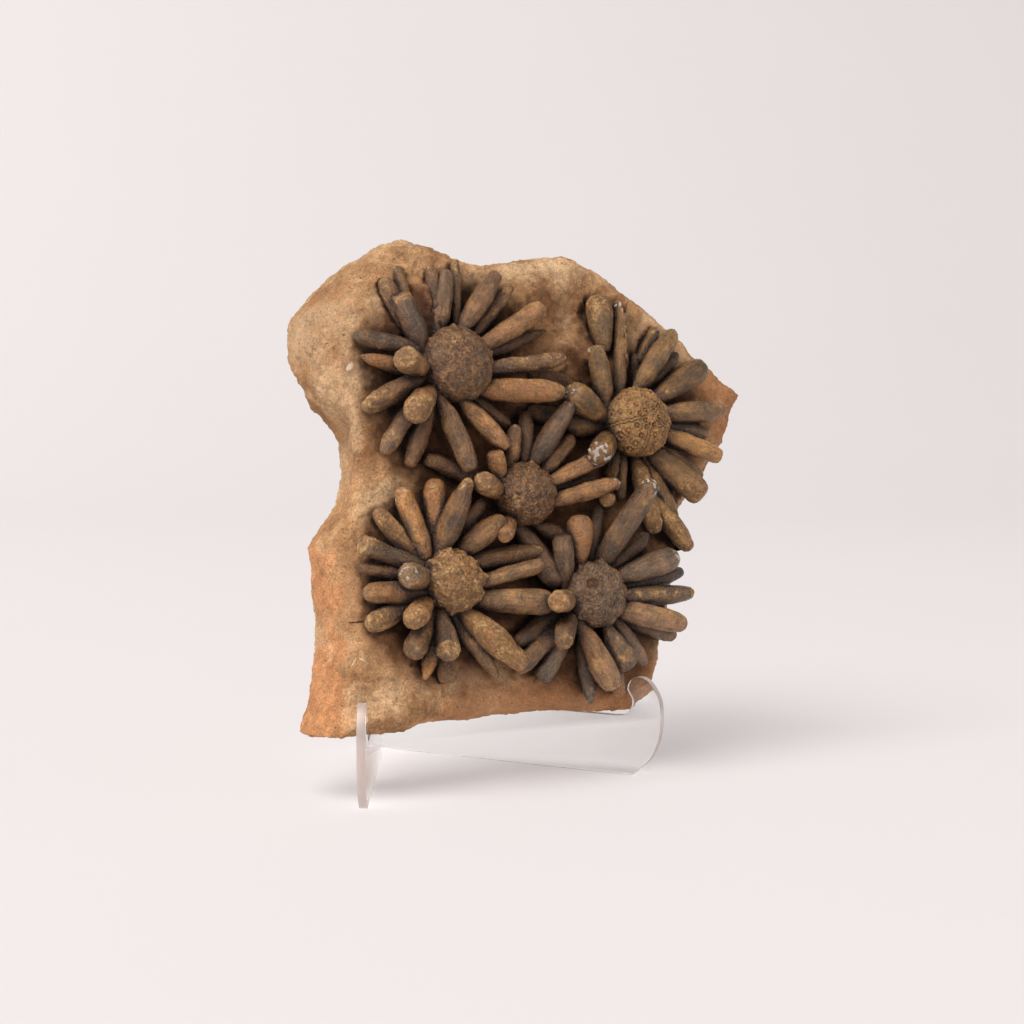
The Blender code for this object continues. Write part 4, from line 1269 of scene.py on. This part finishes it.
def model_plate(name, heading, slot_bottom, slot_top):
    """A plate cut from its drawn outline, its edges broken, with the other plate's slot."""
    bpy.ops.curve.primitive_bezier_curve_add()
    drawn = bpy.context.object
    curve = drawn.data
    curve.dimensions = "2D"
    curve.fill_mode = "BOTH"
    curve.extrude = SHEET / 2 - EDGE_BREAK
    curve.bevel_depth = EDGE_BREAK
    curve.bevel_resolution = 1
    curve.offset = -EDGE_BREAK
    curve.resolution_u = 14
    curve.splines.clear()
    spline = curve.splines.new("BEZIER")
    outline = plate_outline()
    spline.bezier_points.add(len(outline) - 1)
    spline.use_cyclic_u = True
    for knot, (along, up, corner) in zip(spline.bezier_points, outline):
        knot.co = (along, up, 0)
        kind = "VECTOR" if corner else "AUTO"
        knot.handle_left_type = kind
        knot.handle_right_type = kind
    select_only(drawn)
    bpy.ops.object.convert(target="MESH")
    plate = bpy.context.object
    plate.name = name
    plate.data.name = name
    bpy.ops.object.mode_set(mode="EDIT")
    bpy.ops.mesh.select_all(action="SELECT")
    bpy.ops.mesh.remove_doubles(threshold=MERGE / MM)
    bpy.ops.mesh.normals_make_consistent(inside=False)
    bpy.ops.object.mode_set(mode="OBJECT")
    place = Matrix.Scale(MM, 4) @ Matrix.Translation(CROSSING)
    place = place @ Euler((math.pi / 2, 0, heading)).to_matrix().to_4x4()
    plate.data.transform(place)
    cut_slot(plate, heading, slot_bottom, slot_top)
    select_only(plate)
    bpy.ops.object.shade_smooth_by_angle(angle=EDGE_ANGLE)
    return plate


def cut_slot(plate, heading, bottom, top):
    crossing_angle = 2 * HALF_V
    width = SHEET / math.sin(crossing_angle) + SHEET / math.tan(crossing_angle) + 2 * GAP
    middle = CROSSING + Vector((0, 0, (bottom + top) / 2))
    bpy.ops.mesh.primitive_cube_add(size=1, location=middle * MM, rotation=(0, 0, heading))
    cutter = bpy.context.object
    cutter.scale = (width * MM, 3 * SHEET * MM, (top - bottom) * MM)
    apply_modifier(plate, "BOOLEAN", operation="DIFFERENCE", object=cutter, solver="EXACT")
    bpy.data.objects.remove(cutter, do_unlink=True)


# ---- the studio -------------------------------------------------------------------------

def model_sweep():
    """A level square of paper with round corners, square to the camera, that bends up."""
    bpy.ops.mesh.primitive_plane_add(size=2 * FLOOR_FLAT, rotation=(0, 0, -CAMERA_RIGHT))
    sweep = bpy.context.object
    sweep.name = "studio_sweep"
    bpy.ops.object.mode_set(mode="EDIT")
    bpy.ops.mesh.bevel(affect="VERTICES", offset=FLOOR_CORNER, segments=FLOOR_CORNER_STEPS)
    bpy.ops.mesh.select_mode(type="EDGE")
    bpy.ops.mesh.select_all(action="SELECT")
    half, height = FLOOR_FLAT, 0.0
    for step in range(1, FLOOR_BEND_STEPS + 1):
        angle = step / FLOOR_BEND_STEPS * math.pi / 2
        wide = FLOOR_FLAT + FLOOR_CURVE * math.sin(angle)
        high = FLOOR_CURVE * (1 - math.cos(angle))
        bpy.ops.mesh.extrude_edges_move(
            TRANSFORM_OT_translate={"value": (0, 0, high - height)})
        bpy.ops.transform.resize(value=(wide / half, wide / half, 1),
                                 center_override=(0, 0, high))
        half, height = wide, high
    bpy.ops.object.mode_set(mode="OBJECT")
    bpy.ops.object.shade_smooth()
    sweep.data.materials.append(paper_material())


def add_key_light():
    """One far, broad light from the left."""
    way = Vector((math.cos(KEY_HEADING) * math.cos(KEY_HEIGHT),
                  math.sin(KEY_HEADING) * math.cos(KEY_HEIGHT), math.sin(KEY_HEIGHT)))
    bpy.ops.object.light_add(type="AREA", location=way * KEY_DISTANCE)
    lamp = bpy.context.object
    lamp.name = "key_light"
    lamp.rotation_euler = way.to_track_quat("Z", "Y").to_euler()
    lamp.data.shape = "DISK"
    lamp.data.size = 2 * KEY_DISTANCE * math.tan(KEY_WIDTH / 2)
    lamp.data.energy = math.pi ** 2 * KEY_STRENGTH * KEY_DISTANCE ** 2
    lamp.data.color = colour(KEY_COLOUR)[:3]


def set_studio():
    scene = bpy.context.scene
    scene.view_settings.view_transform = "Standard"
    for name, turns in LIGHT_TURNS.items():
        setattr(scene.cycles, name, turns)
    world = bpy.data.worlds.new("Studio")
    world.use_nodes = True
    background = world.node_tree.nodes["Background"]
    background.inputs["Color"].default_value = colour(WORLD_COLOUR)
    background.inputs["Strength"].default_value = WORLD_STRENGTH
    scene.world = world
    model_sweep()
    add_key_light()


def set_camera():
    bpy.ops.object.camera_add(location=CAMERA_PLACE,
                              rotation=(math.pi / 2 - CAMERA_DOWN, 0, -CAMERA_RIGHT))
    camera = bpy.context.object
    camera.name = "camera"
    camera.data.lens = LENS
    camera.data.sensor_width = SENSOR
    camera.data.clip_start = 0.02
    bpy.context.scene.camera = camera


# ---- all together -----------------------------------------------------------------------

def add_stone():
    """The slab, the urchins and the loose spines, with grime and painted shade in the cracks
    between them.
    """
    slab = model_slab(frame)
    masters = {kind: model_spine(kind) for kind in SPINE_KINDS}
    tests = {urchin: model_test(urchin) for urchin in TESTS}
    spines = {urchin: model_spines(urchin, masters) for urchin in TESTS}
    loose = model_loose_spines(masters)
    for master in masters.values():
        bpy.data.objects.remove(master, do_unlink=True)
    tree = surface_tree([slab, loose, *tests.values(), *spines.values()])
    gather_dirt_and_shade(slab, tree, SLAB_STRIDE)
    gather_dirt_and_shade(loose, tree, LOOSE_STRIDE)
    dress(slab, sandstone_material(), "sandstone", "matrix_slab")
    for urchin, form in TESTS.items():
        name = "Fossil calcite, " + form["slot"].replace("_", " ")
        calcite = calcite_material(name, form["dull"], form["warm"])
        gather_dirt_and_shade(tests[urchin], tree, TEST_STRIDE)
        gather_dirt_and_shade(spines[urchin], tree, SPINE_STRIDE)
        dress(tests[urchin], calcite, form["slot"], urchin)
        dress(spines[urchin], calcite, form["slot"], urchin)
        if form["slot"] == LOOSE_SLOT:
            dress(loose, calcite, LOOSE_SLOT, "matrix_slab")


def dress_plate(plate, heading, materials, node):
    """Polished faces and sawn edges for a plate of the easel."""
    sheet, edge = materials
    dress(plate, sheet, "clear_acrylic", node)
    plate.data.materials.append(edge)
    across = Vector((-math.sin(heading), math.cos(heading), 0))
    for face in plate.data.polygons:
        face.material_index = 0 if abs(face.normal.dot(across)) > 0.5 else 1
    plate.visible_shadow = False    # thin clear sheet hardly shades what is behind it


def add_easel():
    materials = acrylic_material(), sawn_edge_material()
    left, right = -math.pi / 2 - HALF_V, -math.pi / 2 + HALF_V
    low, high = -SHEET, 2 * SLOT_MIDDLE + SEAT_HEIGHT
    meet = SLOT_MIDDLE + GAP / 2
    plate = model_plate("easel_left_plate", left, low, meet)
    dress_plate(plate, left, materials, "stand_left_plate")
    plate = model_plate("easel_right_plate", right, meet - GAP, high)
    dress_plate(plate, right, materials, "stand_right_plate")


def corners(bounds):
    return [list(map(float, corner)) for corner in bounds]


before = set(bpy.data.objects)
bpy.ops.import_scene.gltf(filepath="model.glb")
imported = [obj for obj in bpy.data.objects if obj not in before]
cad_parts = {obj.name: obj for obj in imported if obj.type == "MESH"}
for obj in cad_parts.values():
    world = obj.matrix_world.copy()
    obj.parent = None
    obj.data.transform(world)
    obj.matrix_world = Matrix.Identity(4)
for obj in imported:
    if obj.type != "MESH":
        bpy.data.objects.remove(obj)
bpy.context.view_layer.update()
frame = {"nodes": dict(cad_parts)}
deselect()
set_camera()
set_studio()
add_stone()
add_easel()
